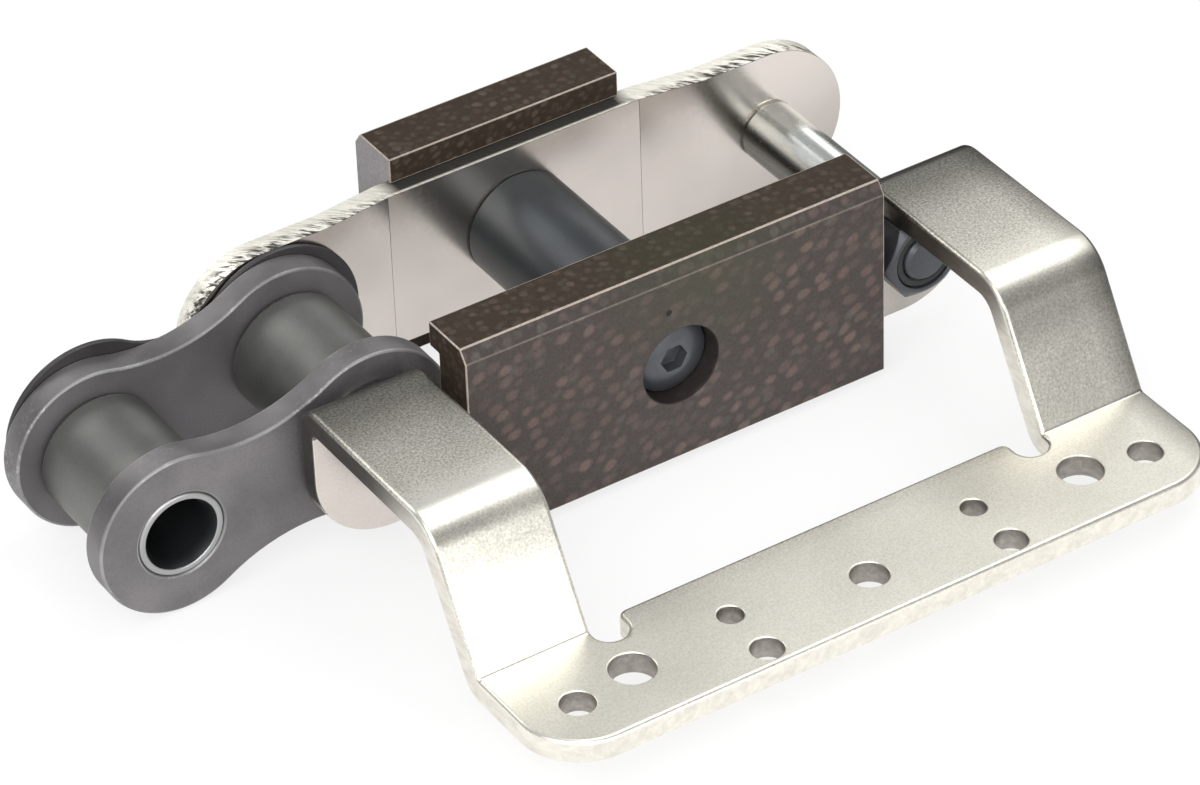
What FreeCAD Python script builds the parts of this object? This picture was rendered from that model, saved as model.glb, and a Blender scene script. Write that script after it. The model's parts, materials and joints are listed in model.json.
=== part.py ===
import FreeCAD, Part
import math
import os
import Sketcher

# One pitch of a conveyor chain with a bent attachment bar and glide blocks.
# Frame: X runs along the chain, Y across it, Z up. The origin is the middle of
# the right pin, on the pitch line. Lengths are in millimetres, angles in degrees.

os.makedirs("parts", exist_ok=True)
doc = FreeCAD.newDocument("conveyor_chain")

DIMENSIONS = (
    # Chain line
    ("outer_pitch", 69.85, "pin to pin on the outer link"),
    ("inner_pitch", 25.4, "bush to bush on the inner link"),
    ("droop", 8.0, "how far the inner link hangs below the chain line"),
    ("pin_d", 7.8, "pin between the outer plates"),
    ("pin_play", 0.05, "radial clearance of the pin in its bush"),
    ("bush_d", 10.8, "bush outside"),
    ("roller_d", 15.1, "roller outside"),
    ("roller_play", 0.05, "radial clearance of the roller on its bush"),
    ("roller_side_play", 0.2, "gap at each end of a roller"),
    ("roller_edge", 0.5, "chamfer at the roller ends"),
    ("inner_width", 15.75, "between the inner plates"),
    # Inner link plates
    ("inner_plate_t", 3.45, "inner plate thickness"),
    ("inner_end", 10.3, "radius of the inner plate ends"),
    ("inner_waist", 7.6, "half height of the inner plate waist"),
    ("plate_edge", 0.25, "broken edges of the inner plates"),
    ("bush_hole_edge", 0.3, "chamfer round the bush holes"),
    ("cover_t", 0.7, "thin cover plate on the far side"),
    ("cover_end", 10.6, "radius of the cover plate ends"),
    ("cover_waist", 6.1, "half height of the cover plate waist"),
    ("cover_shift", 1.2, "how far the cover plate sits towards the joint"),
    ("cover_rise", 0.1, "how far its joint end sits above the pitch line"),
    ("cover_tilt", 2.0, "how far it is turned up against the inner link"),
    ("bush_short", 0.15, "bush end below the face of the cover plate"),
    ("bore_mouth", 0.4, "chamfer at the mouths of the bush bore"),
    ("bush_edge", 0.25, "chamfer on the bush outside"),
    # Outer link
    ("near_gap", 12.5, "chain middle to the attachment web"),
    ("far_gap", 12.2, "chain middle to the ends of the far plate"),
    ("far_bow", 1.15, "outward step of the far plate's middle"),
    ("bow_inner", 17.4, "half length of the stepped middle"),
    ("bow_outer", 26.0, "half length where the step has run out"),
    ("far_plate_t", 3.0, "far plate thickness"),
    ("outer_end", 10.6, "half height and end radius of the outer plates"),
    # Attachment plate
    ("sheet_t", 2.9, "attachment sheet thickness"),
    ("sheet_margin", 10.175, "attachment sheet beyond the pin axes"),
    ("web_corner", 9.8, "rounded lower corners of the web"),
    ("web_top", 10.2, "top edge of the web between the arms"),
    ("arm_top", 9.2, "top face of the arms"),
    ("arm_inner", 30.5, "inner edge of an arm from the middle"),
    ("arm_bend_y", 39.8, "where the arms turn down, from the chain middle"),
    ("arm_slant", 60.0, "slope of the lower part of the arms"),
    ("bar_top", 6.33, "top face of the bar below the pitch line"),
    ("bar_front", 65.0, "front edge of the bar from the chain middle"),
    ("bar_back", 47.45, "back edge of the bar from the chain middle"),
    ("bar_corner", 7.8, "rounded front corners of the bar"),
    ("bar_back_corner", 1.2, "rounded back corners of the bar at the slots"),
    ("web_bend", 0.9, "inside radius of the bend from web to arm"),
    ("arm_bend", 3.1, "inside radius of the bend at the arm end"),
    ("crease_bend", 0.5, "inside radius of the crease at the bar"),
    ("relief_w", 4.1, "width of the bend relief slots"),
    ("relief_reach", 2.7, "slots past the crease of the bar"),
    ("relief_gap", 0.3, "slots below the bend of the web"),
    # Holes of the bar: half spacing, distance from the chain middle, diameter
    ("outer_hole_x", 38.2, "outer pair of holes"),
    ("outer_hole_y", 58.1, "outer pair of holes"),
    ("outer_hole_d", 4.0, "outer pair of holes"),
    ("main_hole_x", 30.2, "large pair of holes"),
    ("main_hole_y", 56.6, "large pair of holes"),
    ("main_hole_d", 5.3, "large pair of holes"),
    ("dowel_hole_x", 16.4, "small pair of holes"),
    ("dowel_hole_y", 55.1, "small pair of holes"),
    ("dowel_hole_d", 3.0, "small pair of holes"),
    ("front_hole_x", 16.4, "front pair of holes"),
    ("front_hole_y", 62.2, "front pair of holes"),
    ("front_hole_d", 3.8, "front pair of holes"),
    ("centre_hole_y", 58.2, "middle hole"),
    ("centre_hole_d", 4.4, "middle hole"),
    # Pins and their nuts
    ("stud_d", 6.0, "threaded end of a pin"),
    ("stud_play", 0.05, "radial clearance round a threaded end"),
    ("stud_out", 0.4, "pin end beyond its nut"),
    ("stud_edge", 0.5, "chamfer of the pin end"),
    ("rivet_d", 6.6, "pin in the far plate"),
    ("rivet_head_d", 9.0, "riveted pin head"),
    ("rivet_head_t", 1.3, "height of the riveted head"),
    ("pin_shoulder", 0.4, "chamfer of the pin shoulders"),
    ("nut_w", 10.0, "nut across flats"),
    ("nut_t", 5.0, "nut thickness"),
    ("nut_face", 4.6, "radius of the flat nut face"),
    ("nut_edge", 1.0, "depth of the turned nut corners"),
    ("nut_turn", 4.6, "angle of the first nut corner"),
    ("ring_d", 8.2, "locking ring"),
    ("ring_t", 1.5, "locking ring thickness"),
    ("ring_sunk", 0.2, "locking ring below the nut face"),
    ("ring_play", 0.05, "radial clearance of the ring in its recess"),
    ("washer_d", 13.4, "thrust washer on the joint pin"),
    ("washer_t", 0.9, "thrust washer thickness"),
    # Spacer tube and through screw
    ("tube_d", 14.0, "spacer tube outside"),
    ("screw_d", 5.0, "through screw shank"),
    ("screw_play", 0.25, "radial clearance of the screw"),
    ("screw_head_d", 9.6, "screw head"),
    ("screw_rim", 1.6, "height of the head's rim"),
    ("screw_crown", 1.0, "crown of the head above its rim"),
    ("socket_w", 3.1, "hexagon socket across flats"),
    ("socket_depth", 1.7, "depth of the hexagon socket"),
    ("screw_out", 0.6, "screw end beyond its nut"),
    ("block_nut_w", 8.0, "nut of the through screw across flats"),
    ("block_nut_t", 2.7, "thickness of that nut"),
    # Glide blocks
    ("near_block_gap", 0.8, "near block to the nut corners"),
    ("near_block_front", 21.2, "glide face from the chain middle"),
    ("near_block_top", 13.6, "top of the near block"),
    ("near_block_bottom", 12.9, "bottom of the near block below the pitch line"),
    ("near_lip", 1.9, "reach of its lips over the web edges"),
    ("far_block_half", 15.8, "half length of the far block"),
    ("far_block_front", 23.2, "far glide face from the chain middle"),
    ("far_block_top", 14.0, "half height of the far block"),
    ("far_lip", 0.9, "reach of its lips over the plate edges"),
    ("lip_gap", 0.1, "gap between a lip and the plate edge"),
    ("bevel_z", 1.6, "height of the long bevels"),
    ("bevel_y", 1.15, "depth of the long bevels"),
    ("sink_d", 10.1, "counterbore for the screw head and its nut"),
    ("sink_floor", 2.0, "block left under the screw head"),
    ("far_sink_floor", 1.5, "block left under the nut"),
)

sheet = doc.addObject("Spreadsheet::Sheet", "Dimensions")


class Size:
    """A number together with the sheet expression that it comes from."""

    def __init__(self, value, text):
        self.value = value
        self.text = text

    def __add__(self, other):
        other = sized(other)
        return Size(self.value + other.value, f"({self.text} + {other.text})")

    def __sub__(self, other):
        other = sized(other)
        return Size(self.value - other.value, f"({self.text} - {other.text})")

    def __mul__(self, other):
        other = sized(other)
        return Size(self.value * other.value, f"({self.text} * {other.text})")

    def __truediv__(self, other):
        other = sized(other)
        return Size(self.value / other.value, f"({self.text} / {other.text})")

    def __neg__(self):
        return Size(-self.value, f"(0 - {self.text})")

    def __radd__(self, other):
        return sized(other) + self

    def __rsub__(self, other):
        return sized(other) - self

    def __rmul__(self, other):
        return sized(other) * self


def sized(value):
    return value if isinstance(value, Size) else Size(float(value), str(value))


def square_root(size):
    return Size(math.sqrt(size.value), f"sqrt({size.text})")


def sine(angle):
    return Size(math.sin(math.radians(angle.value)), f"sin({angle.text})")


def cosine(angle):
    return Size(math.cos(math.radians(angle.value)), f"cos({angle.text})")


def tangent(angle):
    return Size(math.tan(math.radians(angle.value)), f"tan({angle.text})")


for row, (alias, number, meaning) in enumerate(DIMENSIONS, start=1):
    sheet.set(f"A{row}", alias)
    sheet.set(f"B{row}", str(number))
    sheet.set(f"C{row}", meaning)
    sheet.setAlias(f"B{row}", alias)
doc.recompute()

dim = {alias: Size(float(number), f"Dimensions.{alias}") for alias, number, _ in DIMENSIONS}


# Sketch helpers

def new_body(name):
    body = doc.addObject("PartDesign::Body", name)
    body.Label = name
    return body


def new_sketch(body, name, plane, offset=None):
    """A sketch on one of the body's origin planes, moved along its normal by offset."""
    sketch = body.newObject("Sketcher::SketchObject", name)
    origin_plane = next(f for f in body.Origin.OriginFeatures if f.Role == plane)
    sketch.AttachmentSupport = [(origin_plane, "")]
    sketch.MapMode = "FlatFace"
    if offset is not None:
        sketch.AttachmentOffset.Base.z = offset.value
        sketch.setExpression("AttachmentOffset.Base.z", offset.text)
    return sketch


def pin_point(sketch, geometry, point, x, y):
    """Hold one point of a sketch at x, y from the origin; None leaves a direction free."""
    for kind, axis, value in (("DistanceX", -2, x), ("DistanceY", -1, y)):
        if value is None:
            continue
        value = sized(value)
        if value.value == 0:
            sketch.addConstraint(Sketcher.Constraint("PointOnObject", geometry, point, axis))
            continue
        index = sketch.addConstraint(
            Sketcher.Constraint(kind, -1, 1, geometry, point, value.value))
        if "Dimensions" in value.text:
            sketch.setExpression(f"Constraints[{index}]", value.text)


def draw_circle(sketch, x, y, radius):
    centre = FreeCAD.Vector(sized(x).value, sized(y).value, 0)
    circle = sketch.addGeometry(
        Part.Circle(centre, FreeCAD.Vector(0, 0, 1), radius.value), False)
    pin_point(sketch, circle, 3, x, y)
    index = sketch.addConstraint(Sketcher.Constraint("Radius", circle, radius.value))
    sketch.setExpression(f"Constraints[{index}]", radius.text)


def draw_outline(sketch, corners):
    """A closed outline. Each corner is (x, y), or (x, y, (centre x, centre y), turn) where
    an arc leads on to the next corner, turning left (+1) or right (-1)."""
    first = sketch.GeometryCount
    count = len(corners)
    for index, corner in enumerate(corners):
        following = corners[(index + 1) % count]
        start = FreeCAD.Vector(sized(corner[0]).value, sized(corner[1]).value, 0)
        end = FreeCAD.Vector(sized(following[0]).value, sized(following[1]).value, 0)
        if len(corner) == 2:
            sketch.addGeometry(Part.LineSegment(start, end), False)
            continue
        (centre_x, centre_y), turn = corner[2], corner[3]
        centre = FreeCAD.Vector(sized(centre_x).value, sized(centre_y).value, 0)
        radius = (start - centre).Length
        if turn < 0:
            start, end = end, start
        angles = [math.atan2(p.y - centre.y, p.x - centre.x) for p in (start, end)]
        full = Part.Circle(centre, FreeCAD.Vector(0, 0, 1), radius)
        sketch.addGeometry(Part.ArcOfCircle(full, *angles), False)
    for index, corner in enumerate(corners):
        here = first + index
        turn = corner[3] if len(corner) > 2 else 1
        start_point, end_point = (1, 2) if turn > 0 else (2, 1)
        following = corners[(index + 1) % count]
        next_point = 1 if len(following) == 2 or following[3] > 0 else 2
        sketch.addConstraint(Sketcher.Constraint(
            "Coincident", here, end_point, first + (index + 1) % count, next_point))
        pin_point(sketch, here, start_point, corner[0], corner[1])
        if len(corner) > 2:
            chord_x = sized(following[0]).value - sized(corner[0]).value
            chord_y = sized(following[1]).value - sized(corner[1]).value
            centre_x, centre_y = corner[2]
            if abs(chord_y) > abs(chord_x):
                pin_point(sketch, here, 3, centre_x, None)
            else:
                pin_point(sketch, here, 3, None, centre_y)


def pad(body, sketch, length, both_ways=False):
    feature = body.newObject("PartDesign::Pad", f"{sketch.Name}_pad")
    feature.Profile = sketch
    feature.Length = length.value
    feature.setExpression("Length", length.text)
    feature.SideType = "Symmetric" if both_ways else "One side"
    doc.recompute()
    return feature


def cut_through(body, sketch):
    """Cut the sketch through the whole body, both ways from its plane."""
    before = body.Shape.Volume
    feature = body.newObject("PartDesign::Pocket", f"{sketch.Name}_cut")
    feature.Profile = sketch
    feature.SideType = "Two sides"
    feature.Type = "ThroughAll"
    feature.Type2 = "ThroughAll"
    doc.recompute()
    check_cut(body, before, feature)
    return feature


def cut_depth(body, sketch, depth, against_normal=True):
    before = body.Shape.Volume
    feature = body.newObject("PartDesign::Pocket", f"{sketch.Name}_cut")
    feature.Profile = sketch
    feature.Length = depth.value
    feature.setExpression("Length", depth.text)
    feature.Reversed = not against_normal
    doc.recompute()
    check_cut(body, before, feature)
    return feature


def check_cut(body, before, feature):
    if body.Shape.Volume > before - 1e-6:
        raise RuntimeError(f"{feature.Name} in {body.Label} takes nothing away")


def turned(name, corners):
    """A body turned round the Y axis. Each corner is (radius, y), as in draw_outline."""
    body = new_body(name)
    section = new_sketch(body, f"{name}_section", "XY_Plane")
    draw_outline(section, corners)
    turn = body.newObject("PartDesign::Revolution", f"{name}_turn")
    turn.Profile = section
    turn.ReferenceAxis = (section, ["V_Axis"])
    turn.Angle = 360
    doc.recompute()
    return body


def turned_cut(body, name, corners):
    before = body.Shape.Volume
    section = new_sketch(body, name, "XY_Plane")
    draw_outline(section, corners)
    groove = body.newObject("PartDesign::Groove", f"{name}_cut")
    groove.Profile = section
    groove.ReferenceAxis = (section, ["V_Axis"])
    groove.Angle = 360
    doc.recompute()
    check_cut(body, before, groove)


def hexagon(sketch, across_flats, first_corner=None):
    """A hexagon about the origin, with one corner at the given angle."""
    corner_radius = across_flats / square_root(sized(3))
    first_corner = first_corner or sized(0)
    draw_outline(sketch, [
        (corner_radius * cosine(first_corner + 60 * step),
         corner_radius * sine(first_corner + 60 * step)) for step in range(6)])


def edges_at(shape, test):
    """The names of the edges whose middle point passes the test."""
    names = []
    for index, edge in enumerate(shape.Edges, start=1):
        if test(edge, edge.valueAt((edge.FirstParameter + edge.LastParameter) / 2)):
            names.append(f"Edge{index}")
    return names


def dress(body, kind, name, size, test):
    """Chamfer or fillet the edges of the body that pass the test."""
    base = body.Tip
    feature = body.newObject(f"PartDesign::{kind}", name)
    feature.Base = (base, edges_at(base.Shape, test))
    length = "Size" if kind == "Chamfer" else "Radius"
    setattr(feature, length, size.value)
    feature.setExpression(length, size.text)
    doc.recompute()
    return feature


def place(body, x=0, y=0, z=0, turn=None):
    """Put a body at x, y, z, turned about the Y axis by the angle turn."""
    angle = turn or sized(0)
    spot = [sized(value) for value in (x, y, z)]
    body.Placement = FreeCAD.Placement(
        FreeCAD.Vector(*[size.value for size in spot]),
        FreeCAD.Rotation(FreeCAD.Vector(0, 1, 0), angle.value))
    for axis, size in zip("xyz", spot):
        if "Dimensions" in size.text:
            body.setExpression(f"Placement.Base.{axis}", size.text)
    if turn is not None:
        body.setExpression("Placement.Rotation.Angle", turn.text)


# Places that several pieces share

link_middle = -(dim["outer_pitch"] / 2)
sheet_half = dim["outer_pitch"] / 2 + dim["sheet_margin"]
near_block_half = (
    dim["outer_pitch"] / 2 - dim["nut_w"] / square_root(sized(3)) - dim["near_block_gap"])
joint_x = -dim["outer_pitch"]
free_x = joint_x - dim["inner_pitch"] * cosine(dim["droop"])
free_z = -(dim["inner_pitch"] * sine(dim["droop"]))
inner_face = dim["inner_width"] / 2
inner_outside = inner_face + dim["inner_plate_t"]
web_back = -dim["near_gap"]
web_front = web_back - dim["sheet_t"]
far_end_outside = dim["far_gap"] + dim["far_plate_t"]
far_middle = dim["far_gap"] + dim["far_bow"]
far_middle_outside = far_middle + dim["far_plate_t"]
stud_hole_r = dim["stud_d"] / 2 + dim["stud_play"]
screw_hole_r = dim["screw_d"] / 2 + dim["screw_play"]
pin_bore_r = dim["pin_d"] / 2 + dim["pin_play"]


# Inner link

def waisted_outline(length, end_r, waist):
    """A link plate: round ends at 0 and -length, joined by two hollow waist arcs."""
    half = length / 2
    waist_r = (half * half + waist * waist - end_r * end_r) / (2 * (end_r - waist))
    waist_y = waist + waist_r
    share = end_r / (end_r + waist_r)
    near_x = -(half * share)
    far_x = half * share - length
    edge_y = waist_y * share
    return [
        (near_x, -edge_y, (0, 0), 1),
        (near_x, edge_y, (-half, waist_y), -1),
        (far_x, edge_y, (-length, 0), 1),
        (far_x, -edge_y, (-half, -waist_y), -1)]


def inner_plate(name, face_y):
    """One waisted inner plate, from face_y towards the viewer's side."""
    body = new_body(name)
    outline = new_sketch(body, f"{name}_outline", "XZ_Plane")
    draw_outline(outline, waisted_outline(
        dim["inner_pitch"], dim["inner_end"], dim["inner_waist"]))
    pad(body, outline, dim["inner_plate_t"])
    dress(body, "Chamfer", f"{name}_edges", dim["plate_edge"],
          lambda edge, middle: edge.Length > 2 * dim["inner_plate_t"].value)
    holes = new_sketch(body, f"{name}_holes", "XZ_Plane")
    draw_circle(holes, 0, 0, dim["bush_d"] / 2)
    draw_circle(holes, -dim["inner_pitch"], 0, dim["bush_d"] / 2)
    cut_through(body, holes)
    dress(body, "Chamfer", f"{name}_hole_edges", dim["bush_hole_edge"],
          lambda edge, middle: edge.isClosed())
    place(body, joint_x, face_y, 0, -dim["droop"])
    return body


inner_plate("near_inner_plate", -inner_face)
inner_plate("far_inner_plate", inner_outside)


def cover_plate():
    """The thin dark plate on the bush ends, outside the far inner plate. It sits a little
    towards the joint and is turned up, so its edge shows above the far plate's free end."""
    body = new_body("cover_plate")
    outline = new_sketch(body, "cover_outline", "XZ_Plane")
    draw_outline(outline, waisted_outline(
        dim["inner_pitch"], dim["cover_end"], dim["cover_waist"]))
    pad(body, outline, dim["cover_t"])
    holes = new_sketch(body, "cover_holes", "XZ_Plane")
    along, rise = dim["cover_shift"], dim["cover_rise"]
    turn_sine, turn_cosine = sine(dim["cover_tilt"]), cosine(dim["cover_tilt"])
    for reach in (sized(0), dim["inner_pitch"]):
        offset_x = -(reach + along)
        draw_circle(holes, offset_x * turn_cosine + rise * turn_sine,
                    -(rise * turn_cosine) + offset_x * turn_sine, dim["bush_d"] / 2)
    cut_through(body, holes)
    lean = dim["droop"]
    place(body, joint_x + along * cosine(lean) - rise * sine(lean),
          inner_outside + dim["cover_t"],
          along * sine(lean) + rise * cosine(lean),
          -(dim["droop"] - dim["cover_tilt"]))
    return body


cover_plate()


def bush(name, x, z):
    """A bush, flush with the near inner plate and reaching into the cover plate."""
    outside, bore = dim["bush_d"] / 2, pin_bore_r
    near = -inner_outside
    far = inner_outside + dim["cover_t"] - dim["bush_short"]
    mouth, edge = dim["bore_mouth"], dim["bush_edge"]
    body = turned(name, [
        (bore + mouth, near), (outside - edge, near), (outside, near + edge),
        (outside, far - edge), (outside - edge, far), (bore + mouth, far),
        (bore, far - mouth), (bore, near + mouth)])
    place(body, x, 0, z)


bush("joint_bush", joint_x, 0)
bush("free_bush", free_x, free_z)


def roller(name, x, z):
    """A roller running on its bush between the inner plates."""
    outside = dim["roller_d"] / 2
    bore = dim["bush_d"] / 2 + dim["roller_play"]
    half = inner_face - dim["roller_side_play"]
    edge = dim["roller_edge"]
    body = turned(name, [
        (bore, -half), (outside - edge, -half), (outside, -half + edge),
        (outside, half - edge), (outside - edge, half), (bore, half)])
    place(body, x, 0, z)


roller("joint_roller", joint_x, 0)
roller("free_roller", free_x, free_z)


# Outer link

def far_link_plate():
    """The far outer plate: a strip whose middle steps outwards, with rounded ends."""
    body = new_body("far_link_plate")
    half = dim["outer_pitch"] / 2 + dim["outer_end"]
    strip = new_sketch(body, "far_plate_strip", "XY_Plane")
    ends, middle, thick = dim["far_gap"], far_middle, dim["far_plate_t"]
    near_side = [(-half, ends), (-dim["bow_outer"], ends), (-dim["bow_inner"], middle),
                 (dim["bow_inner"], middle), (dim["bow_outer"], ends), (half, ends)]
    far_side = [(x, y + thick) for x, y in reversed(near_side)]
    draw_outline(strip, near_side + far_side)
    pad(body, strip, 2 * dim["outer_end"], both_ways=True)
    ends_cut = new_sketch(body, "far_plate_ends", "XZ_Plane")
    reach, end_r, frame = dim["outer_pitch"] / 2, dim["outer_end"], half + dim["outer_end"]
    draw_outline(ends_cut, [(-frame, -frame), (frame, -frame), (frame, frame), (-frame, frame)])
    draw_outline(ends_cut, [(-reach, -end_r), (reach, -end_r, (reach, 0), 1), (reach, end_r),
                            (-reach, end_r, (-reach, 0), 1)])
    cut_through(body, ends_cut)
    holes = new_sketch(body, "far_plate_holes", "XZ_Plane")
    draw_circle(holes, -reach, 0, dim["rivet_d"] / 2)
    draw_circle(holes, reach, 0, dim["rivet_d"] / 2)
    draw_circle(holes, 0, 0, screw_hole_r)
    cut_through(body, holes)
    place(body, link_middle)


far_link_plate()


def attachment_plate():
    """One bent sheet: the near outer plate of the link, two arms that leave its top, turn
    down and end in a flat bar with nine holes."""
    body = new_body("attachment_plate")
    thick, slope = dim["sheet_t"], dim["arm_slant"]
    top, low = dim["arm_top"], -dim["bar_top"]
    half_turn = tangent(slope / 2)
    down_y, down_z = -cosine(slope), -sine(slope)
    out_y, out_z = -sine(slope), cosine(slope)

    web_outer = dim["web_bend"] + thick
    web_tangent = top - web_outer
    arm_start = web_back - web_outer
    first_centre = (arm_start, web_tangent)

    arm_outer = dim["arm_bend"] + thick
    corner_y = -dim["arm_bend_y"]
    bend_y = corner_y + arm_outer * half_turn
    bend_centre = (bend_y, top - arm_outer)
    slant_top = (bend_y + arm_outer * out_y, top - arm_outer + arm_outer * out_z)
    slant_under = (bend_y + dim["arm_bend"] * out_y,
                   top - arm_outer + dim["arm_bend"] * out_z)

    crease_y = corner_y - (top - low) / tangent(slope)
    crease_end = crease_y - dim["crease_bend"] * half_turn
    crease_centre = (crease_end, low + dim["crease_bend"])
    crease_outer = dim["crease_bend"] + thick
    crease_top = (crease_end - dim["crease_bend"] * out_y,
                  low + dim["crease_bend"] - dim["crease_bend"] * out_z)
    crease_under = (crease_end - crease_outer * out_y,
                    low + dim["crease_bend"] - crease_outer * out_z)
    front = -dim["bar_front"]

    profile = new_sketch(body, "sheet_profile", "YZ_Plane")
    draw_outline(profile, [
        (web_back, web_tangent, first_centre, 1),
        (arm_start, top),
        (bend_y, top, bend_centre, 1),
        slant_top,
        (crease_top[0], crease_top[1], crease_centre, -1),
        (crease_end, low),
        (front, low),
        (front, low - thick),
        (crease_end, low - thick, crease_centre, 1),
        crease_under,
        (slant_under[0], slant_under[1], bend_centre, -1),
        (bend_y, top - thick),
        (arm_start, top - thick, first_centre, -1),
        (web_front, web_tangent)])
    pad(body, profile, 2 * sheet_half, both_ways=True)

    # The window between the arms, with a round slot beside each arm at the crease
    slot_r = dim["relief_w"] / 2
    slot_outer = dim["arm_inner"]
    slot_inner = slot_outer - dim["relief_w"]
    slot_middle = slot_outer - slot_r
    slot_y = crease_y - dim["relief_reach"] + slot_r
    behind = web_back + thick
    window = new_sketch(body, "window", "XY_Plane")
    draw_outline(window, [
        (-slot_outer, behind),
        (-slot_outer, slot_y, (-slot_middle, slot_y), 1),
        (-slot_inner, slot_y),
        (slot_inner, slot_y, (slot_middle, slot_y), 1),
        (slot_outer, slot_y),
        (slot_outer, behind)])
    cut_through(body, window)

    # The flat back of the bar between the slots
    bar_back, round_r = -dim["bar_back"], dim["bar_back_corner"]
    strip = new_sketch(body, "bar_strip", "XY_Plane", low - thick)
    draw_outline(strip, [
        (-slot_inner, slot_y),
        (-slot_inner, bar_back - round_r, (round_r - slot_inner, bar_back - round_r), -1),
        (round_r - slot_inner, bar_back),
        (slot_inner - round_r, bar_back, (slot_inner - round_r, bar_back - round_r), -1),
        (slot_inner, bar_back - round_r),
        (slot_inner, slot_y)])
    pad(body, strip, thick)

    # The web, with the same slots at the foot of each arm
    side, corner, foot = sheet_half, dim["web_corner"], -dim["outer_end"]
    relief_z = web_tangent - dim["relief_gap"]
    web = new_sketch(body, "web", "XZ_Plane", dim["near_gap"])
    draw_outline(web, [
        (-side, web_tangent),
        (-side, foot + corner, (corner - side, foot + corner), 1),
        (corner - side, foot),
        (side - corner, foot, (side - corner, foot + corner), 1),
        (side, foot + corner),
        (side, web_tangent),
        (slot_outer, web_tangent),
        (slot_outer, relief_z, (slot_middle, relief_z), -1),
        (slot_inner, relief_z),
        (slot_inner, dim["web_top"]),
        (-slot_inner, dim["web_top"]),
        (-slot_inner, relief_z, (-slot_middle, relief_z), -1),
        (-slot_outer, relief_z),
        (-slot_outer, web_tangent)])
    pad(body, web, thick)
    web_holes = new_sketch(body, "web_holes", "XZ_Plane", dim["near_gap"])
    reach = dim["outer_pitch"] / 2
    draw_circle(web_holes, -reach, 0, stud_hole_r)
    draw_circle(web_holes, reach, 0, stud_hole_r)
    draw_circle(web_holes, 0, 0, screw_hole_r)
    cut_depth(body, web_holes, thick, against_normal=False)

    bar_holes = new_sketch(body, "bar_holes", "XY_Plane")
    for pair in ("outer", "main", "dowel", "front"):
        for side_sign in (-1, 1):
            draw_circle(bar_holes, side_sign * dim[f"{pair}_hole_x"],
                        -dim[f"{pair}_hole_y"], dim[f"{pair}_hole_d"] / 2)
    draw_circle(bar_holes, 0, -dim["centre_hole_y"], dim["centre_hole_d"] / 2)
    cut_through(body, bar_holes)

    dress(body, "Fillet", "bar_corners", dim["bar_corner"], lambda edge, middle: (
        abs(middle.y - front.value) < 0.01
        and abs(abs(middle.x) - sheet_half.value) < 0.01))
    place(body, link_middle)


attachment_plate()


def pin(name, x):
    """A pin: threaded near end, shouldered shank, and a far end riveted over the plate."""
    stud, shank, rivet = dim["stud_d"] / 2, dim["pin_d"] / 2, dim["rivet_d"] / 2
    head = dim["rivet_head_d"] / 2
    end = web_front - dim["nut_t"] - dim["stud_out"]
    dome_r = (head * head + dim["rivet_head_t"] * dim["rivet_head_t"]) / (
        2 * dim["rivet_head_t"])
    crown = far_end_outside + dim["rivet_head_t"]
    body = turned(name, [
        (0, end), (stud - dim["stud_edge"], end), (stud, end + dim["stud_edge"]),
        (stud, web_back), (shank - dim["pin_shoulder"], web_back),
        (shank, web_back + dim["pin_shoulder"]),
        (shank, dim["far_gap"] - dim["pin_shoulder"]),
        (shank - dim["pin_shoulder"], dim["far_gap"]),
        (rivet, dim["far_gap"]), (rivet, far_end_outside),
        (head, far_end_outside, (0, crown - dome_r), 1), (0, crown)])
    place(body, x)


pin("joint_pin", joint_x)
pin("right_pin", 0)


ring_depth = dim["ring_t"] + dim["ring_sunk"]


def lock_nut(name, x):
    """A hexagon lock nut on the threaded end of a pin, with a recess for its ring."""
    body = new_body(name)
    outline = new_sketch(body, f"{name}_outline", "XZ_Plane", -web_front)
    hexagon(outline, dim["nut_w"], dim["nut_turn"])
    pad(body, outline, dim["nut_t"])
    end = web_front - dim["nut_t"]
    wide = dim["nut_w"]
    turned_cut(body, f"{name}_corners", [
        (dim["nut_face"], end), (wide, end),
        (wide, end + (wide - dim["nut_face"]) * dim["nut_edge"])])
    bore = new_sketch(body, f"{name}_bore", "XZ_Plane")
    draw_circle(bore, 0, 0, stud_hole_r)
    cut_through(body, bore)
    recess_r, recess_floor = dim["ring_d"] / 2 + dim["ring_play"], end + ring_depth
    turned_cut(body, f"{name}_recess", [
        (0, end), (recess_r, end), (recess_r, recess_floor), (0, recess_floor)])
    place(body, x)


def lock_ring(name, x):
    """The locking ring in the end of a nut."""
    start = web_front - dim["nut_t"] + dim["ring_sunk"]
    body = turned(name, [
        (stud_hole_r, start), (dim["ring_d"] / 2, start),
        (dim["ring_d"] / 2, start + dim["ring_t"]), (stud_hole_r, start + dim["ring_t"])])
    place(body, x)


for side_name, side_x in (("joint", joint_x), ("right", 0)):
    lock_nut(f"{side_name}_pin_nut", side_x)
    lock_ring(f"{side_name}_nut_ring", side_x)


def thrust_washer():
    """The washer that fills the near gap between the inner plate and the web."""
    near = web_back
    body = turned("thrust_washer", [
        (pin_bore_r, near), (dim["washer_d"] / 2, near),
        (dim["washer_d"] / 2, near + dim["washer_t"]), (pin_bore_r, near + dim["washer_t"])])
    place(body, joint_x)


thrust_washer()


def spacer_tube():
    """The tube that holds the middles of the two outer plates apart."""
    body = turned("spacer_tube", [
        (screw_hole_r, web_back), (dim["tube_d"] / 2, web_back),
        (dim["tube_d"] / 2, far_middle), (screw_hole_r, far_middle)])
    place(body, link_middle)


spacer_tube()


# Glide blocks and the screw that holds them

near_floor = web_front - dim["sink_floor"]
far_floor = far_middle_outside + dim["far_sink_floor"]


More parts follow.
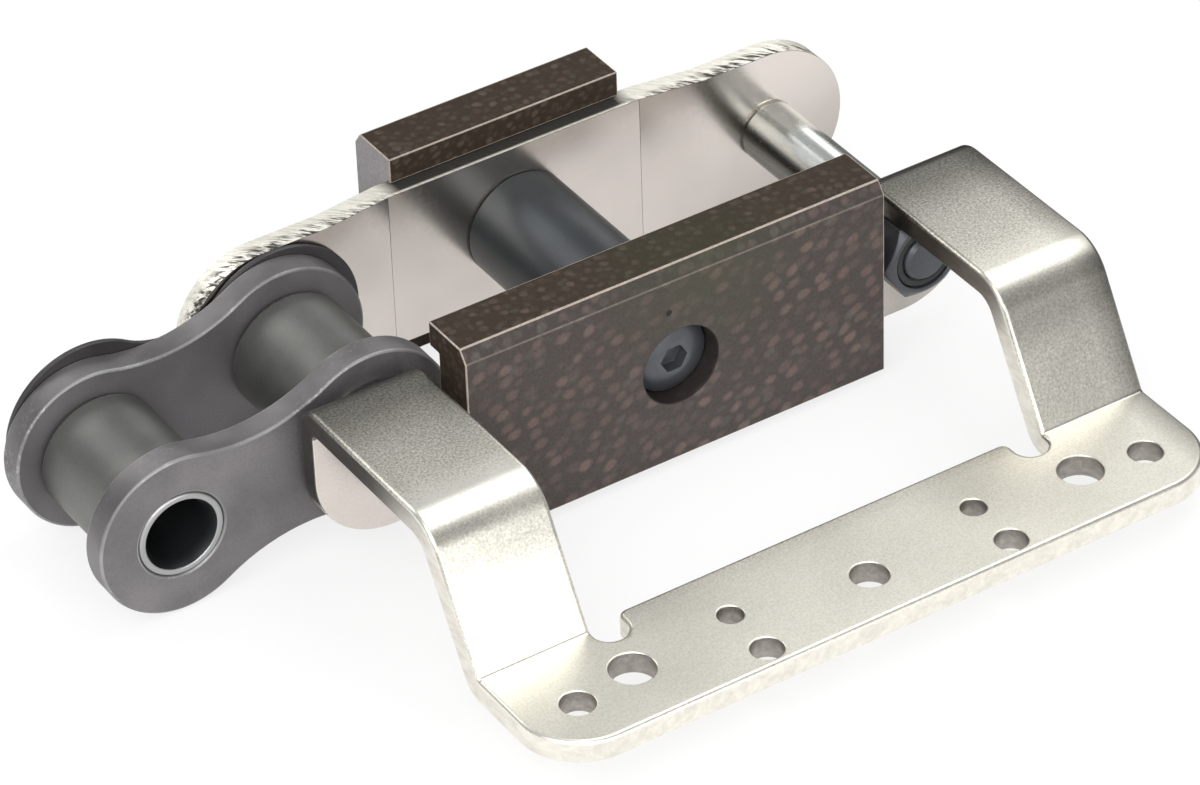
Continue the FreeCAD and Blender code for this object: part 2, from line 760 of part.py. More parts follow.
def near_glide_block():
    """The near block: a channel that hooks over the top and bottom edges of the web."""
    body = new_body("near_glide_block")
    front, lip = -dim["near_block_front"], web_front + dim["near_lip"]
    top, foot = dim["near_block_top"], -dim["near_block_bottom"]
    ceiling = dim["web_top"] + dim["lip_gap"]
    floor = -(dim["outer_end"] + dim["lip_gap"])
    profile = new_sketch(body, "near_block_profile", "YZ_Plane")
    draw_outline(profile, [
        (front, foot), (lip, foot), (lip, floor), (web_front, floor),
        (web_front, ceiling), (lip, ceiling), (lip, top),
        (front + dim["bevel_y"], top), (front, top - dim["bevel_z"])])
    pad(body, profile, 2 * near_block_half, both_ways=True)
    turned_cut(body, "near_block_sink", [
        (0, front - 1), (dim["sink_d"] / 2, front - 1),
        (dim["sink_d"] / 2, near_floor), (screw_hole_r, near_floor),
        (screw_hole_r, web_front + 1), (0, web_front + 1)])
    place(body, link_middle)


def far_glide_block():
    """The far block: shorter, with shallow lips over the edges of the far plate."""
    body = new_body("far_glide_block")
    back, lip = dim["far_block_front"], far_middle_outside - dim["far_lip"]
    top = dim["far_block_top"]
    ceiling = dim["outer_end"] + dim["lip_gap"]
    profile = new_sketch(body, "far_block_profile", "YZ_Plane")
    draw_outline(profile, [
        (lip, -top), (back - dim["bevel_y"], -top), (back, dim["bevel_z"] - top),
        (back, top - dim["bevel_z"]), (back - dim["bevel_y"], top), (lip, top),
        (lip, ceiling), (far_middle_outside, ceiling),
        (far_middle_outside, -ceiling), (lip, -ceiling)])
    pad(body, profile, 2 * dim["far_block_half"], both_ways=True)
    turned_cut(body, "far_block_sink", [
        (0, back + 1), (0, far_middle_outside - 1), (screw_hole_r, far_middle_outside - 1),
        (screw_hole_r, far_floor), (dim["sink_d"] / 2, far_floor),
        (dim["sink_d"] / 2, back + 1)])
    place(body, link_middle)


near_glide_block()
far_glide_block()


def block_screw():
    """The crowned socket screw through both blocks, both plates and the tube."""
    shank, head = dim["screw_d"] / 2, dim["screw_head_d"] / 2
    crown, rise = dim["screw_crown"], near_floor - dim["screw_rim"]
    crown_r = (head * head + crown * crown) / (2 * crown)
    end = far_floor + dim["block_nut_t"] + dim["screw_out"]
    edge = dim["stud_edge"]
    body = turned("block_screw", [
        (0, rise - crown, (0, rise - crown + crown_r), 1),
        (head, rise), (head, near_floor), (shank, near_floor),
        (shank, end - edge), (shank - edge, end), (0, end)])
    socket = new_sketch(body, "socket", "XZ_Plane", crown - rise)
    hexagon(socket, dim["socket_w"])
    cut_depth(body, socket, dim["socket_depth"])
    place(body, link_middle)


def block_nut():
    """The thin nut sunk into the far block."""
    body = new_body("block_nut")
    outline = new_sketch(body, "block_nut_outline", "XZ_Plane",
                         -(far_floor + dim["block_nut_t"]))
    hexagon(outline, dim["block_nut_w"])
    pad(body, outline, dim["block_nut_t"])
    bore = new_sketch(body, "block_nut_bore", "XZ_Plane")
    draw_circle(bore, 0, 0, dim["screw_d"] / 2 + dim["stud_play"])
    cut_through(body, bore)
    place(body, link_middle)


block_screw()
block_nut()


# Check every object, then write one file for each body

doc.recompute()
for item in doc.Objects:
    if "Invalid" in item.State or "Error" in item.State:
        raise RuntimeError(f"{item.Name} failed: {item.State}")
for item in doc.Objects:
    if item.isDerivedFrom("PartDesign::Body"):
        if item.Shape.isNull() or not item.Shape.isValid():
            raise RuntimeError(f"{item.Label} has no valid shape")
for item in doc.Objects:
    if item.isDerivedFrom("PartDesign::Body"):
        item.Shape.exportStep(f"parts/{item.Label}.step")
        box = item.Shape.BoundBox
        print(f"{item.Label}: {item.Shape.Volume:.1f} mm3, solids {len(item.Shape.Solids)}, "
              f"x {box.XMin:.2f} to {box.XMax:.2f}, y {box.YMin:.2f} to {box.YMax:.2f}, "
              f"z {box.ZMin:.2f} to {box.ZMax:.2f}")
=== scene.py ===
import json
import math

import bpy
from mathutils import Matrix, Vector


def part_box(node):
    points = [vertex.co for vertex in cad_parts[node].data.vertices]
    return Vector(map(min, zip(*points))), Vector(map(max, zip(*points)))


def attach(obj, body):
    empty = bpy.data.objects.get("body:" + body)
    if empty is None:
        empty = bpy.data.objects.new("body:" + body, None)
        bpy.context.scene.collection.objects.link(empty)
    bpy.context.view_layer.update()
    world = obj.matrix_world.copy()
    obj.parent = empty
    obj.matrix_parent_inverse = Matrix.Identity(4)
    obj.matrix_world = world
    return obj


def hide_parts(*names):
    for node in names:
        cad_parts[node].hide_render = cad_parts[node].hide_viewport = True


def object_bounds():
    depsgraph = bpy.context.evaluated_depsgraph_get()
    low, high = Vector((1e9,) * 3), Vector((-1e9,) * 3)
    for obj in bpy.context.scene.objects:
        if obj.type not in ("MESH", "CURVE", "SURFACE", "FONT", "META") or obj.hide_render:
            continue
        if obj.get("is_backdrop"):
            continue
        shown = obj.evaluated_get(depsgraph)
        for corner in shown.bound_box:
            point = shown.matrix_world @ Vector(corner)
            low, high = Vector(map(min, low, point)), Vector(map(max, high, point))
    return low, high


bl_info = {
    "name": "Conveyor Chain Link",
    "version": (1, 0, 0),
    "blender": (4, 5, 0),
    "location": "View3D > Sidebar > Chain",
    "description": "Builds the visible pieces and finishes of a conveyor chain link on its frame",
    "category": "Add Mesh",
}

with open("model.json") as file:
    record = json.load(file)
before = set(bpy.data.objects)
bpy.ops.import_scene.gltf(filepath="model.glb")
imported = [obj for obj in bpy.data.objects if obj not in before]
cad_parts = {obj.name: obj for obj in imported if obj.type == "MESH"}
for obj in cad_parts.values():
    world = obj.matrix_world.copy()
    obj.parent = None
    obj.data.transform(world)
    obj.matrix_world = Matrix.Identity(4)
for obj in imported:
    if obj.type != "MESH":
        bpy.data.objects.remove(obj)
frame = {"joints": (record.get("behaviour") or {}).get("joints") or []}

HINGES = {joint["name"]: Vector(joint["pos_m"]) for joint in frame["joints"]}
JOINT = HINGES["link_joint"]
FREE = HINGES["free_roller_turn"]
RIGHT = Vector()
MIDDLE = Vector((JOINT.x / 2, 0, 0))
MIDDLE_X = MIDDLE.x
ALONG = Vector((1, 0, 0))
ACROSS = Vector((0, 1, 0))
UP = Vector((0, 0, 1))

PIN_TAIL = 0.0033  # radius of the pins in the far plate
PIN_HOLE = 0.00305  # radius of the holes in the web for the studs
SCREW_HOLE = 0.00275  # radius of the holes for the block screw
SCREW_SEAT = -0.0174  # where the screw's head sits in the near block
PRESSED = 0.00002  # room round a pressed piece


def length(name, description, default):
    return bpy.props.FloatProperty(
        name=name, description=description, default=default, unit="LENGTH", precision=5)


def colour(name, description, default):
    return bpy.props.FloatVectorProperty(
        name=name, description=description, default=default, subtype="COLOR", min=0, max=1)


class ChainSizes(bpy.types.PropertyGroup):
    """Sizes that the visible pieces take"""

    end_radius: length("Plate end", "Radius of the inner plate ends", 0.0103)
    waist: length("Plate waist", "Half height of the inner plate waist", 0.0076)
    cover_end: length("Cover end", "Radius of the cover plate ends", 0.0106)
    cover_waist: length("Cover waist", "Half height of the cover plate waist", 0.0061)
    cover_shift: length("Cover shift", "How far the cover plate sits towards the joint", 0.0012)
    bush_radius: length("Bush", "Outer radius of the bushes", 0.0054)
    bore_radius: length("Bush bore", "Radius of the bush bore", 0.00395)
    roller_radius: length("Roller", "Outer radius of the rollers", 0.00755)
    pin_radius: length("Pin", "Radius of the pins", 0.0039)
    stud_radius: length("Stud", "Radius of the threaded pin ends", 0.003)
    tube_radius: length("Tube", "Outer radius of the spacer tube", 0.007)
    outer_end: length("Outer plate end", "Half height of the outer plates", 0.0106)
    sheet: length("Sheet", "Thickness of the attachment sheet", 0.0029)
    arm_inner: length("Arm edge", "Inner edge of an arm from the middle", 0.0305)
    slot_width: length("Slot", "Width of the bend relief slots", 0.0041)
    web_bend: length("Web bend", "Outside radius of the bend from web to arm", 0.0038)
    arm_bend: length("Arm bend", "Outside radius of the bend at the arm end", 0.0060)
    crease_bend: length("Crease", "Inside radius of the crease at the bar", 0.0005)
    bar_corner: length("Bar corner", "Radius of the bar's front corners", 0.0078)
    bar_back_corner: length("Bar back corner", "Radius of the bar's corners at the slots", 0.0012)
    sheet_round: length("Sheet rounding", "Rounding round the sheet's outer face", 0.0006)
    rim_round: length("Rim rounding", "Rounding of the sheet's holes and inner face", 0.00022)
    plate_round: length("Plate rounding", "Rounding of the inner plate edges", 0.0003)
    block_round: length("Block edge", "Broken edges of the glide blocks", 0.00016)


class ChainColours(bpy.types.PropertyGroup):
    """Base colours of the finishes"""

    nickel: colour("Satin nickel", "Bent attachment sheet", (0.66, 0.64, 0.57))
    polished: colour("Polished nickel", "Far plate", (0.80, 0.74, 0.69))
    steel: colour("Phosphated steel", "Inner plates", (0.175, 0.166, 0.172))
    roller: colour("Roller steel", "Rollers", (0.15, 0.152, 0.142))
    bright: colour("Bright steel", "Bushes and worn edges", (0.42, 0.42, 0.42))
    pin: colour("Pin steel", "Ground pins", (0.84, 0.87, 0.83))
    black: colour("Black steel", "Spacer tube", (0.056, 0.062, 0.066))
    laminate: colour("Laminate", "Cloth laminate blocks", (0.14, 0.118, 0.111))
    laminate_spot: colour("Laminate threads", "Reddish thread crowns", (0.225, 0.16, 0.142))
    laminate_weft: colour("Laminate weft", "Greyish thread crowns", (0.165, 0.148, 0.135))
    laminate_line: colour("Laminate edges", "Worn edges of the blocks", (0.34, 0.29, 0.25))
    screw: colour("Screw", "Blackened screw and nuts", (0.084, 0.089, 0.1))


def sizes():
    return bpy.context.scene.chain_sizes


def colours():
    return bpy.context.scene.chain_colours


# Modelling helpers

def enter(mode):
    bpy.ops.object.mode_set(mode=mode)


def select(action):
    bpy.ops.mesh.select_all(action=action)


class Pen:
    """Draws a path of edges in edit mode, one line or arc after another."""

    def __init__(self, start):
        bpy.ops.object.select_all(action="DESELECT")
        bpy.ops.mesh.primitive_plane_add(size=0.01)
        self.piece = bpy.context.active_object
        enter("EDIT")
        bpy.ops.mesh.select_mode(type="VERT")
        bpy.ops.mesh.merge(type="CENTER")
        self.here = Vector(start)
        bpy.ops.transform.translate(value=self.here)

    def line(self, *points):
        for point in points:
            there = Vector(point)
            bpy.ops.mesh.extrude_region_move(
                TRANSFORM_OT_translate={"value": there - self.here})
            self.here = there

    def arc(self, centre, point, axis, step=4.0):
        """An arc that turns about axis by the right-hand rule, from here to point."""
        centre, there, axis = Vector(centre), Vector(point), Vector(axis)
        start, end = self.here - centre, there - centre
        angle = math.atan2(axis.dot(start.cross(end)), start.dot(end)) % (2 * math.pi)
        steps = max(2, round(math.degrees(angle) / step))
        bpy.ops.mesh.spin(steps=steps, angle=-angle, center=centre, axis=axis)
        self.here = there

    def thicken(self, move):
        """Close the path, fill it and draw it out along move. Returns the piece."""
        select("SELECT")
        bpy.ops.mesh.remove_doubles(threshold=1e-6)
        bpy.ops.mesh.edge_face_add()
        bpy.ops.mesh.extrude_region_move(TRANSFORM_OT_translate={"value": Vector(move)})
        return self.close_up()

    def turn(self, centre, steps):
        """Spin the path once round the chain's cross axis at centre. Returns the piece."""
        select("SELECT")
        bpy.ops.mesh.spin(steps=steps, angle=2 * math.pi, center=centre, axis=ACROSS)
        select("SELECT")
        bpy.ops.mesh.remove_doubles(threshold=1e-6)
        return self.close_up()

    def close_up(self):
        select("SELECT")
        bpy.ops.mesh.normals_make_consistent(inside=False)
        enter("OBJECT")
        return self.piece


def prism(points, move):
    """A closed outline of points, drawn out along move."""
    pen = Pen(points[0])
    pen.line(*points[1:], points[0])
    return pen.thicken(move)


def hexagon(middle, across_flats, depth, first_corner=0.0):
    """A hexagonal prism about the cross axis at middle."""
    radius = across_flats / math.sqrt(3)
    back = middle.y + depth / 2
    angles = [math.radians(first_corner + 60 * step) for step in range(6)]
    return prism([(middle.x + radius * math.cos(angle), back,
                   middle.z + radius * math.sin(angle)) for angle in angles], -ACROSS * depth)


def turned(centre, profile, closed=True, steps=96):
    """A turned piece: profile points are (radius, y) about the cross axis at centre."""
    points = [(centre.x + radius, y, centre.z) for radius, y in profile]
    pen = Pen(points[0])
    pen.line(*points[1:])
    if closed:
        pen.line(points[0])
    return pen.turn(centre, steps)


def rod(centre, axis, radius, reach):
    """A round cutter through centre along axis."""
    bpy.ops.object.select_all(action="DESELECT")
    bpy.ops.mesh.primitive_cylinder_add(
        vertices=96, radius=radius, depth=2 * reach, location=centre,
        rotation=UP.rotation_difference(axis).to_euler())
    bpy.ops.object.transform_apply(location=True, rotation=True, scale=True)
    return bpy.context.active_object


def activate(piece):
    bpy.ops.object.select_all(action="DESELECT")
    piece.select_set(True)
    bpy.context.view_layer.objects.active = piece


def apply_modifier(piece, kind, **settings):
    activate(piece)
    modifier = piece.modifiers.new(kind.title(), kind)
    for key, value in settings.items():
        setattr(modifier, key, value)
    bpy.ops.object.modifier_apply(modifier=modifier.name)


def combine(piece, other, operation="DIFFERENCE"):
    apply_modifier(piece, "BOOLEAN", object=other, operation=operation, solver="EXACT")
    bpy.data.objects.remove(other)


def drill(piece, axis, reach, *holes):
    """Cut round holes, each given by a point on its axis and its radius."""
    for centre, radius in holes:
        combine(piece, rod(centre, axis, radius, reach))


def weld(piece, other, axis, height):
    """Join two solids that meet at height along axis, and leave out the wall between."""
    activate(piece)
    other.select_set(True)
    bpy.ops.object.join()
    enter("EDIT")
    bpy.ops.mesh.select_mode(type="FACE")
    select("SELECT")
    bpy.ops.mesh.remove_doubles(threshold=5e-6)
    select("DESELECT")
    enter("OBJECT")
    points = piece.data.vertices
    for face in piece.data.polygons:
        face.select = all(
            abs(points[index].co[axis] - height) < 1e-5 for index in face.vertices)
    enter("EDIT")
    bpy.ops.mesh.delete(type="FACE")
    enter("OBJECT")


def tidy(piece, merge=2e-6):
    """Merge what a cut leaves behind and dissolve what lies flat."""
    activate(piece)
    enter("EDIT")
    select("SELECT")
    bpy.ops.mesh.remove_doubles(threshold=merge)
    bpy.ops.mesh.dissolve_limited(angle_limit=math.radians(0.2))
    enter("OBJECT")


def round_weighted(piece, width, weigh):
    """Round the sharp edges, each by its own share of width: weigh(edge, faces) gives it."""
    faces = {}
    for face in piece.data.polygons:
        for key in face.edge_keys:
            faces.setdefault(key, []).append(face)
    shares = piece.data.attributes.new("bevel_weight_edge", "FLOAT", "EDGE")
    for edge in piece.data.edges:
        pair = faces.get(edge.key, [])
        if len(pair) == 2 and pair[0].normal.dot(pair[1].normal) < 0.79:
            shares.data[edge.index].value = weigh(edge, pair)
    apply_modifier(piece, "BEVEL", width=width, segments=5, limit_method="WEIGHT",
                   use_clamp_overlap=False)


def wear(piece, finishes):
    for name in finishes:
        piece.data.materials.append(finish(name))


def dress(piece, body, node, finishes, chooser=None, worn=None):
    """Name a piece, finish its faces and put it on its body in place of its node.

    chooser(face, whether it has the worn finish) names a face's finish, or gives None
    where it stays as it is.
    """
    piece.name = piece.data.name = f"{node}_piece"
    if chooser:
        for face in piece.data.polygons:
            name = chooser(face, finishes[face.material_index] == worn)
            if name:
                face.material_index = finishes.index(name)
    activate(piece)
    bpy.ops.object.shade_smooth_by_angle(angle=math.radians(32))
    apply_modifier(piece, "WEIGHTED_NORMAL", keep_sharp=True, weight=60)
    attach(piece, body)
    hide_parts(node)


def complete(piece, body, node, finishes, width, segments=2, angle=30, worn=None,
             chooser=None):
    """Round a piece's edges by width, with the worn finish if one is named, and dress it."""
    wear(piece, finishes)
    apply_modifier(
        piece, "BEVEL", width=width, segments=segments, limit_method="ANGLE",
        angle_limit=math.radians(angle), material=finishes.index(worn) if worn else -1,
        use_clamp_overlap=True, miter_outer="MITER_ARC")
    dress(piece, body, node, finishes, chooser, worn)


def by_side(flat, side):
    """A chooser that tells a plate's faces from its sides and leaves its worn edges."""
    def choose(face, worn):
        if worn:
            return None
        return side if abs(face.normal.y) < 0.5 else flat

    return choose


# Shader helpers

def add(tree, kind, inputs=None, **settings):
    """Add a shader node. Inputs hold either values or sockets to link from."""
    node = tree.nodes.new("ShaderNode" + kind)
    for key, value in settings.items():
        setattr(node, key, value)
    for key, value in (inputs or {}).items():
        if isinstance(value, bpy.types.NodeSocket):
            tree.links.new(value, node.inputs[key])
        else:
            node.inputs[key].default_value = value
    return node


def calc(tree, operation, *values):
    return add(tree, "Math", dict(enumerate(values)), operation=operation).outputs[0]


def calc_vector(tree, operation, first, second=None):
    """The vector that an operation gives, or the number where it gives one."""
    inputs = {0: first}
    if second is not None:
        inputs["Scale" if operation == "SCALE" else 1] = second
    gives_number = operation in ("DISTANCE", "DOT_PRODUCT", "LENGTH")
    node = add(tree, "VectorMath", inputs, operation=operation)
    return node.outputs["Value" if gives_number else "Vector"]


def spread(tree, value, low, high, to_low=0.0, to_high=1.0):
    """Stretch the part of value from low to high over to_low to to_high."""
    return add(tree, "MapRange", {
        "Value": value, "From Min": low, "From Max": high,
        "To Min": to_low, "To Max": to_high}).outputs["Result"]


def run(tree, value, low, high):
    """From low to high while value goes from 0 to 1."""
    return spread(tree, value, 0.0, 1.0, low, high)


def blend(tree, factor, first, second):
    """From one number to another."""
    return add(tree, "Mix", {0: factor, 2: first, 3: second}, data_type="FLOAT").outputs[0]


def mix(tree, factor, first, second):
    """From one colour to another."""
    return add(tree, "Mix", {0: factor, 6: first, 7: second}, data_type="RGBA").outputs[2]


def multiply(tree, first, *others):
    for other in others:
        first = add(tree, "Mix", {0: 1.0, 6: first, 7: other}, data_type="RGBA",
                    blend_type="MULTIPLY").outputs[2]
    return first


def brighten(tree, tone, value):
    return add(tree, "HueSaturation", {"Color": tone, "Value": value}).outputs["Color"]


def noise(tree, place, scale, detail=2.0, roughness=0.5, distortion=0.0):
    return add(tree, "TexNoise", {
        "Vector": place, "Scale": scale, "Detail": detail, "Roughness": roughness,
        "Distortion": distortion}).outputs


def object_place(tree):
    return add(tree, "TexCoord").outputs["Object"]


def parts(tree, vector):
    return add(tree, "SeparateXYZ", {"Vector": vector}).outputs


def shaded(base, factor):
    return tuple(min(1.0, channel * factor) for channel in base[:3]) + (1.0,)


def tones(tree, factor, base, low, high):
    """From a darker to a lighter shade of a base colour."""
    return mix(tree, factor, shaded(base, low), shaded(base, high))


def along(tree, axis, back, front, stops):
    """A factor that follows one axis from back to front: the finishes use it for painted light
    and shade.
    """
    place = parts(tree, object_place(tree))[axis]
    ramp = add(tree, "ValToRGB", {"Fac": spread(tree, place, back, front)})
    points = ramp.color_ramp.elements
    while len(points) < len(stops):
        points.new(1.0)
    for point, (stop, painted_light_level) in zip(points, stops):
        point.position = (stop - back) / (front - back)
        point.color = (painted_light_level, painted_light_level, painted_light_level, 1.0)
    return ramp.outputs["Color"]


def along_sheet(tree, *stops):
    """Painted light and shade that follows the sheet from the web at the back to the bar at the
    front.
    """
    return along(tree, "Y", -0.0125, -0.065, stops)


# Shared groups: each function fills a group from its inputs and gives its outputs

def metal_grain(tree, given):
    """Fine even grain with a slow blotch under it, as on plated or blasted steel."""
    fine = noise(tree, given["Vector"], given["Scale"], 3.0, 0.65)["Fac"]
    slow = noise(tree, given["Vector"], given["Slow"])["Fac"]
    return {"Grain": spread(tree, fine, 0.3, 0.7), "Blotch": spread(tree, slow, 0.35, 0.65),
            "Height": fine}


def rubbed_flecks(tree, given):
    """Small scattered bright flecks, as where a dark coat has rubbed through."""
    flecks = noise(tree, given["Vector"], given["Scale"], 5.0, 0.75)["Fac"]
    patch = noise(tree, given["Vector"], 120.0)["Fac"]
    both = calc(tree, "ADD", flecks, spread(tree, patch, 0.35, 0.7, -0.1, 0.12))
    over = calc(tree, "SUBTRACT", both, calc(tree, "SUBTRACT", 0.85, given["Cover"]))
    return {"Mask": spread(tree, over, 0.0, 0.14)}


def sheared_edge(tree, given):
    """The torn grain of a sheared plate edge, drawn across the plate's thickness."""
    x, y, z = parts(tree, given["Vector"])
    lean = calc(tree, "ADD", x, calc(tree, "MULTIPLY", y, given["Lean"]))
    drawn = add(tree, "CombineXYZ", {
        "X": lean, "Y": calc(tree, "MULTIPLY", y, 0.3), "Z": z}).outputs[0]
    torn = noise(tree, drawn, given["Scale"], 4.0, 0.65, 0.4)["Fac"]
    return {"Shade": spread(tree, torn, 0.34, 0.66), "Height": torn}


def crowns(tree, place, offset):
    """Rounded cells in loose rows: the strength of each crown."""
    cells = add(tree, "TexVoronoi", {
        "Vector": calc_vector(tree, "ADD", place, offset), "Scale": 1.0, "Randomness": 0.5},
        feature="F1").outputs
    crown = add(tree, "MapRange", {
        "Value": cells["Distance"], "From Min": 0.46, "From Max": 0.2},
        interpolation_type="SMOOTHSTEP").outputs["Result"]
    pick = add(tree, "SeparateColor", {"Color": cells["Color"]}).outputs["Red"]
    return calc(tree, "MULTIPLY", crown, spread(tree, pick, 0.1, 0.95, 0.3, 1.0))


def cloth_laminate(tree, given):
    """A cloth laminate: the cut crowns of warp and weft threads in dark resin."""
    place = given["Vector"]
    waver = calc_vector(tree, "SCALE", noise(tree, place, 300.0)["Color"], 0.0010)
    bent = calc_vector(tree, "ADD", place, waver)
    rows = add(tree, "Mapping", {
        "Vector": calc_vector(tree, "SCALE", bent, given["Density"]),
        "Rotation": (0.0, math.radians(-22), 0.0),
        "Scale": (0.0027, 0.0024, 0.0019)}, vector_type="TEXTURE").outputs[0]
    warp = crowns(tree, rows, (0.0, 0.0, 0.0))
    weft = crowns(tree, rows, (0.5, 7.3, 0.5))
    fade = spread(tree, noise(tree, place, 90.0)["Fac"], 0.36, 0.62, 0.7, 1.0)
    warp = calc(tree, "MULTIPLY", calc(tree, "MULTIPLY", warp, fade), given["Amount"])
    fibre = noise(tree, place, 2600.0, 3.0, 0.7)["Fac"]
    threads = mix(tree, warp, mix(tree, weft, given["Ground"], given["Weft"]), given["Warp"])
    return {"Colour": brighten(tree, threads, spread(tree, fibre, 0.3, 0.7, 0.82, 1.18)),
            "Height": calc(tree, "ADD", warp, fibre)}


GROUPS = {}
SOCKETS = {"Vector": "NodeSocketVector", "Ground": "NodeSocketColor", "Warp": "NodeSocketColor",
           "Weft": "NodeSocketColor", "Colour": "NodeSocketColor"}


def group(tree, fill, **inputs):
    """Place a shared group in a material, fed with object coordinates."""
    if fill not in GROUPS:
        inner = bpy.data.node_groups.new(fill.__name__, "ShaderNodeTree")

        def new_sockets(titles, way):
            for title in titles:
                inner.interface.new_socket(
                    title, in_out=way, socket_type=SOCKETS.get(title, "NodeSocketFloat"))

        new_sockets(("Vector", *inputs), "INPUT")
        made = fill(inner, inner.nodes.new("NodeGroupInput").outputs)
        new_sockets(made, "OUTPUT")
        out = inner.nodes.new("NodeGroupOutput")
        for title, socket in made.items():
            inner.links.new(socket, out.inputs[title])
        GROUPS[fill] = inner
    return add(tree, "Group", {"Vector": object_place(tree), **inputs},
               node_tree=GROUPS[fill]).outputs


# Finishes

def new_material(name, **constants):
    """A material with its principled shader, and the constants set on its sockets."""
    material = bpy.data.materials.new(name)
    material.use_nodes = True
    tree = material.node_tree
    shader = next(node for node in tree.nodes if node.type == "BSDF_PRINCIPLED")
    for key, value in constants.items():
        shader.inputs[key.replace("_", " ")].default_value = value
    return material, tree, shader


def coat(made, tone, rough, height, depth, strength):
    """Feed a new material its colour, roughness and relief. Returns the material."""
    material, tree, shader = made
    relief = add(tree, "Bump", {"Height": height, "Distance": depth, "Strength": strength})
    for key, socket in (("Base Color", tone), ("Roughness", rough),
                        ("Normal", relief.outputs["Normal"])):
        tree.links.new(socket, shader.inputs[key])
    return material


def grained(name, base, scale, slow, tone, rough, relief, fine=None, rough_by="Blotch",
            metallic=1.0, painted_light_level=None):
    """Metal with a blotch in its tone and, with fine, a grain in its brightness.

    tone, rough and fine run between two values, relief is depth and strength, and the level
    is painted light and shade along an axis: the axis, its back, its front and the stops.
    """
    made = new_material(name, Metallic=metallic)
    tree = made[1]
    grain = group(tree, metal_grain, Scale=scale, Slow=slow)
    shade = tones(tree, grain["Blotch"], base, *tone)
    if fine:
        shade = brighten(tree, shade, run(tree, grain["Grain"], *fine))
    if painted_light_level:
        shade = multiply(tree, shade, along(tree, *painted_light_level))
    return coat(made, shade, run(tree, grain[rough_by], *rough), grain["Height"], *relief)


def dark_steel(name, base, tone=(0.82, 1.15), rough=(0.42, 0.5), metallic=0.55):
    """Phosphated steel: dark grey with a soft sheen and a very fine grain."""
    return grained(name, base, 4200.0, 110.0, tone, rough, (0.00003, 0.25), (0.88, 1.12),
                   "Grain", metallic)


def sheared(name, base, scale, lean, tone, rough, *stops):
    """A sheared or drilled wall of the sheet, with drag lines down its thickness; stops, where
    given, paint shade along the sheet.
    """
    made = new_material(name, Metallic=1.0)
    tree = made[1]
    torn = group(tree, sheared_edge, Scale=scale, Lean=lean)
    shade = tones(tree, torn["Shade"], base, *tone)
    if stops:
        shade = multiply(tree, shade, along_sheet(tree, *stops))
    return coat(made, shade, run(tree, torn["Shade"], *rough), torn["Height"], 0.00008, 0.25)


def satin_nickel():
    """Nickel plate over blasted steel: a speckled light-and-dark grain, with painted light and
    shade along and across the sheet, brighter on the bar.
    """
    made = new_material("satin_nickel_face", Metallic=1.0)
    tree = made[1]
    grain = group(tree, metal_grain, Scale=3600.0, Slow=60.0)
    # Painted light and shade along the sheet: darker at the web, a painted highlight on the arm
    # bends with a painted shade band below it, and a brighter bar
    painted_light_level = along_sheet(
        tree, (-0.0145, 0.34), (-0.019, 0.52), (-0.025, 1.05), (-0.033, 1.32), (-0.036, 1.5),
        (-0.0394, 1.42), (-0.0412, 0.8), (-0.0426, 0.84), (-0.0444, 1.24), (-0.05, 1.34))
    # The grain's dark specks follow painted shade along the sheet
    grain_dark_and_painted_shade = along_sheet(
        tree, (-0.0145, 0.44), (-0.032, 0.56), (-0.0385, 0.94), (-0.0412, 0.7), (-0.047, 0.7),
        (-0.05, 0.91))
    grain_and_painted_shade = mix(tree, spread(tree, grain["Grain"], 0.1, 0.9), grain_dark_and_painted_shade,
                 (1.14, 1.14, 1.14, 1.0))
    # Painted shade across the sheet: the right arm darker, and a dark rim at the bar's right end
    across = along(tree, "X", -0.081, 0.0105, (
        (-0.081, 1.08), (-0.03, 0.97), (-0.0045, 0.86), (0.006, 0.84), (0.0086, 0.54),
        (0.0102, 0.25)))
    tone = multiply(tree, shaded(colours().nickel, 1.0), painted_light_level, grain_and_painted_shade, across)
    return coat(made, tone, run(tree, grain["Blotch"], 0.3, 0.37), grain["Height"], 0.00004, 0.3)


def torn_nickel():
    """The broken edge of the far plate: furrows at its near face, smooth behind, and a
    painted shadow beside the far block."""
    made = new_material("polished_nickel_edge", Metallic=0.45)
    tree = made[1]
    torn = group(tree, sheared_edge, Scale=1500.0, Lean=0.9)
    base = colours().nickel
    x, y, _ = parts(tree, object_place(tree))
    furrow = tones(tree, spread(tree, torn["Shade"], 0.25, 0.65), base, 0.08, 1.5)
    smear = tones(tree, torn["Shade"], base, 1.0, 1.5)
    beside_block = calc(tree, "MULTIPLY", spread(tree, x, -0.0525, -0.0503),
                        spread(tree, x, -0.0178, -0.02))
    calm = calc(tree, "MAXIMUM", spread(tree, y, 0.0134, 0.0144), beside_block)
    # Painted shadow of the far block on the edge's far part
    dark = calc(tree, "MULTIPLY", beside_block, spread(tree, y, 0.0136, 0.0139))
    tone = mix(tree, dark, mix(tree, calm, furrow, smear), shaded(base, 0.08))
    return coat(made, tone, run(tree, torn["Shade"], 0.42, 0.26), torn["Height"], 0.0002, 0.6)


def rubbed_steel(name, base, bright, cover, rough=0.4):
    """Dark steel whose coat has rubbed through to bright flecks."""
    made = new_material(name, Metallic=0.7)
    tree = made[1]
    grain = group(tree, metal_grain, Scale=3000.0, Slow=160.0)
    mask = group(tree, rubbed_flecks, Scale=1700.0, Cover=cover)["Mask"]
    tone = mix(tree, mask, tones(tree, grain["Blotch"], base, 0.8, 1.25), shaded(bright, 1.0))
    return coat(made, tone, run(tree, mask, rough + 0.08, rough), grain["Height"], 0.00006, 0.4)


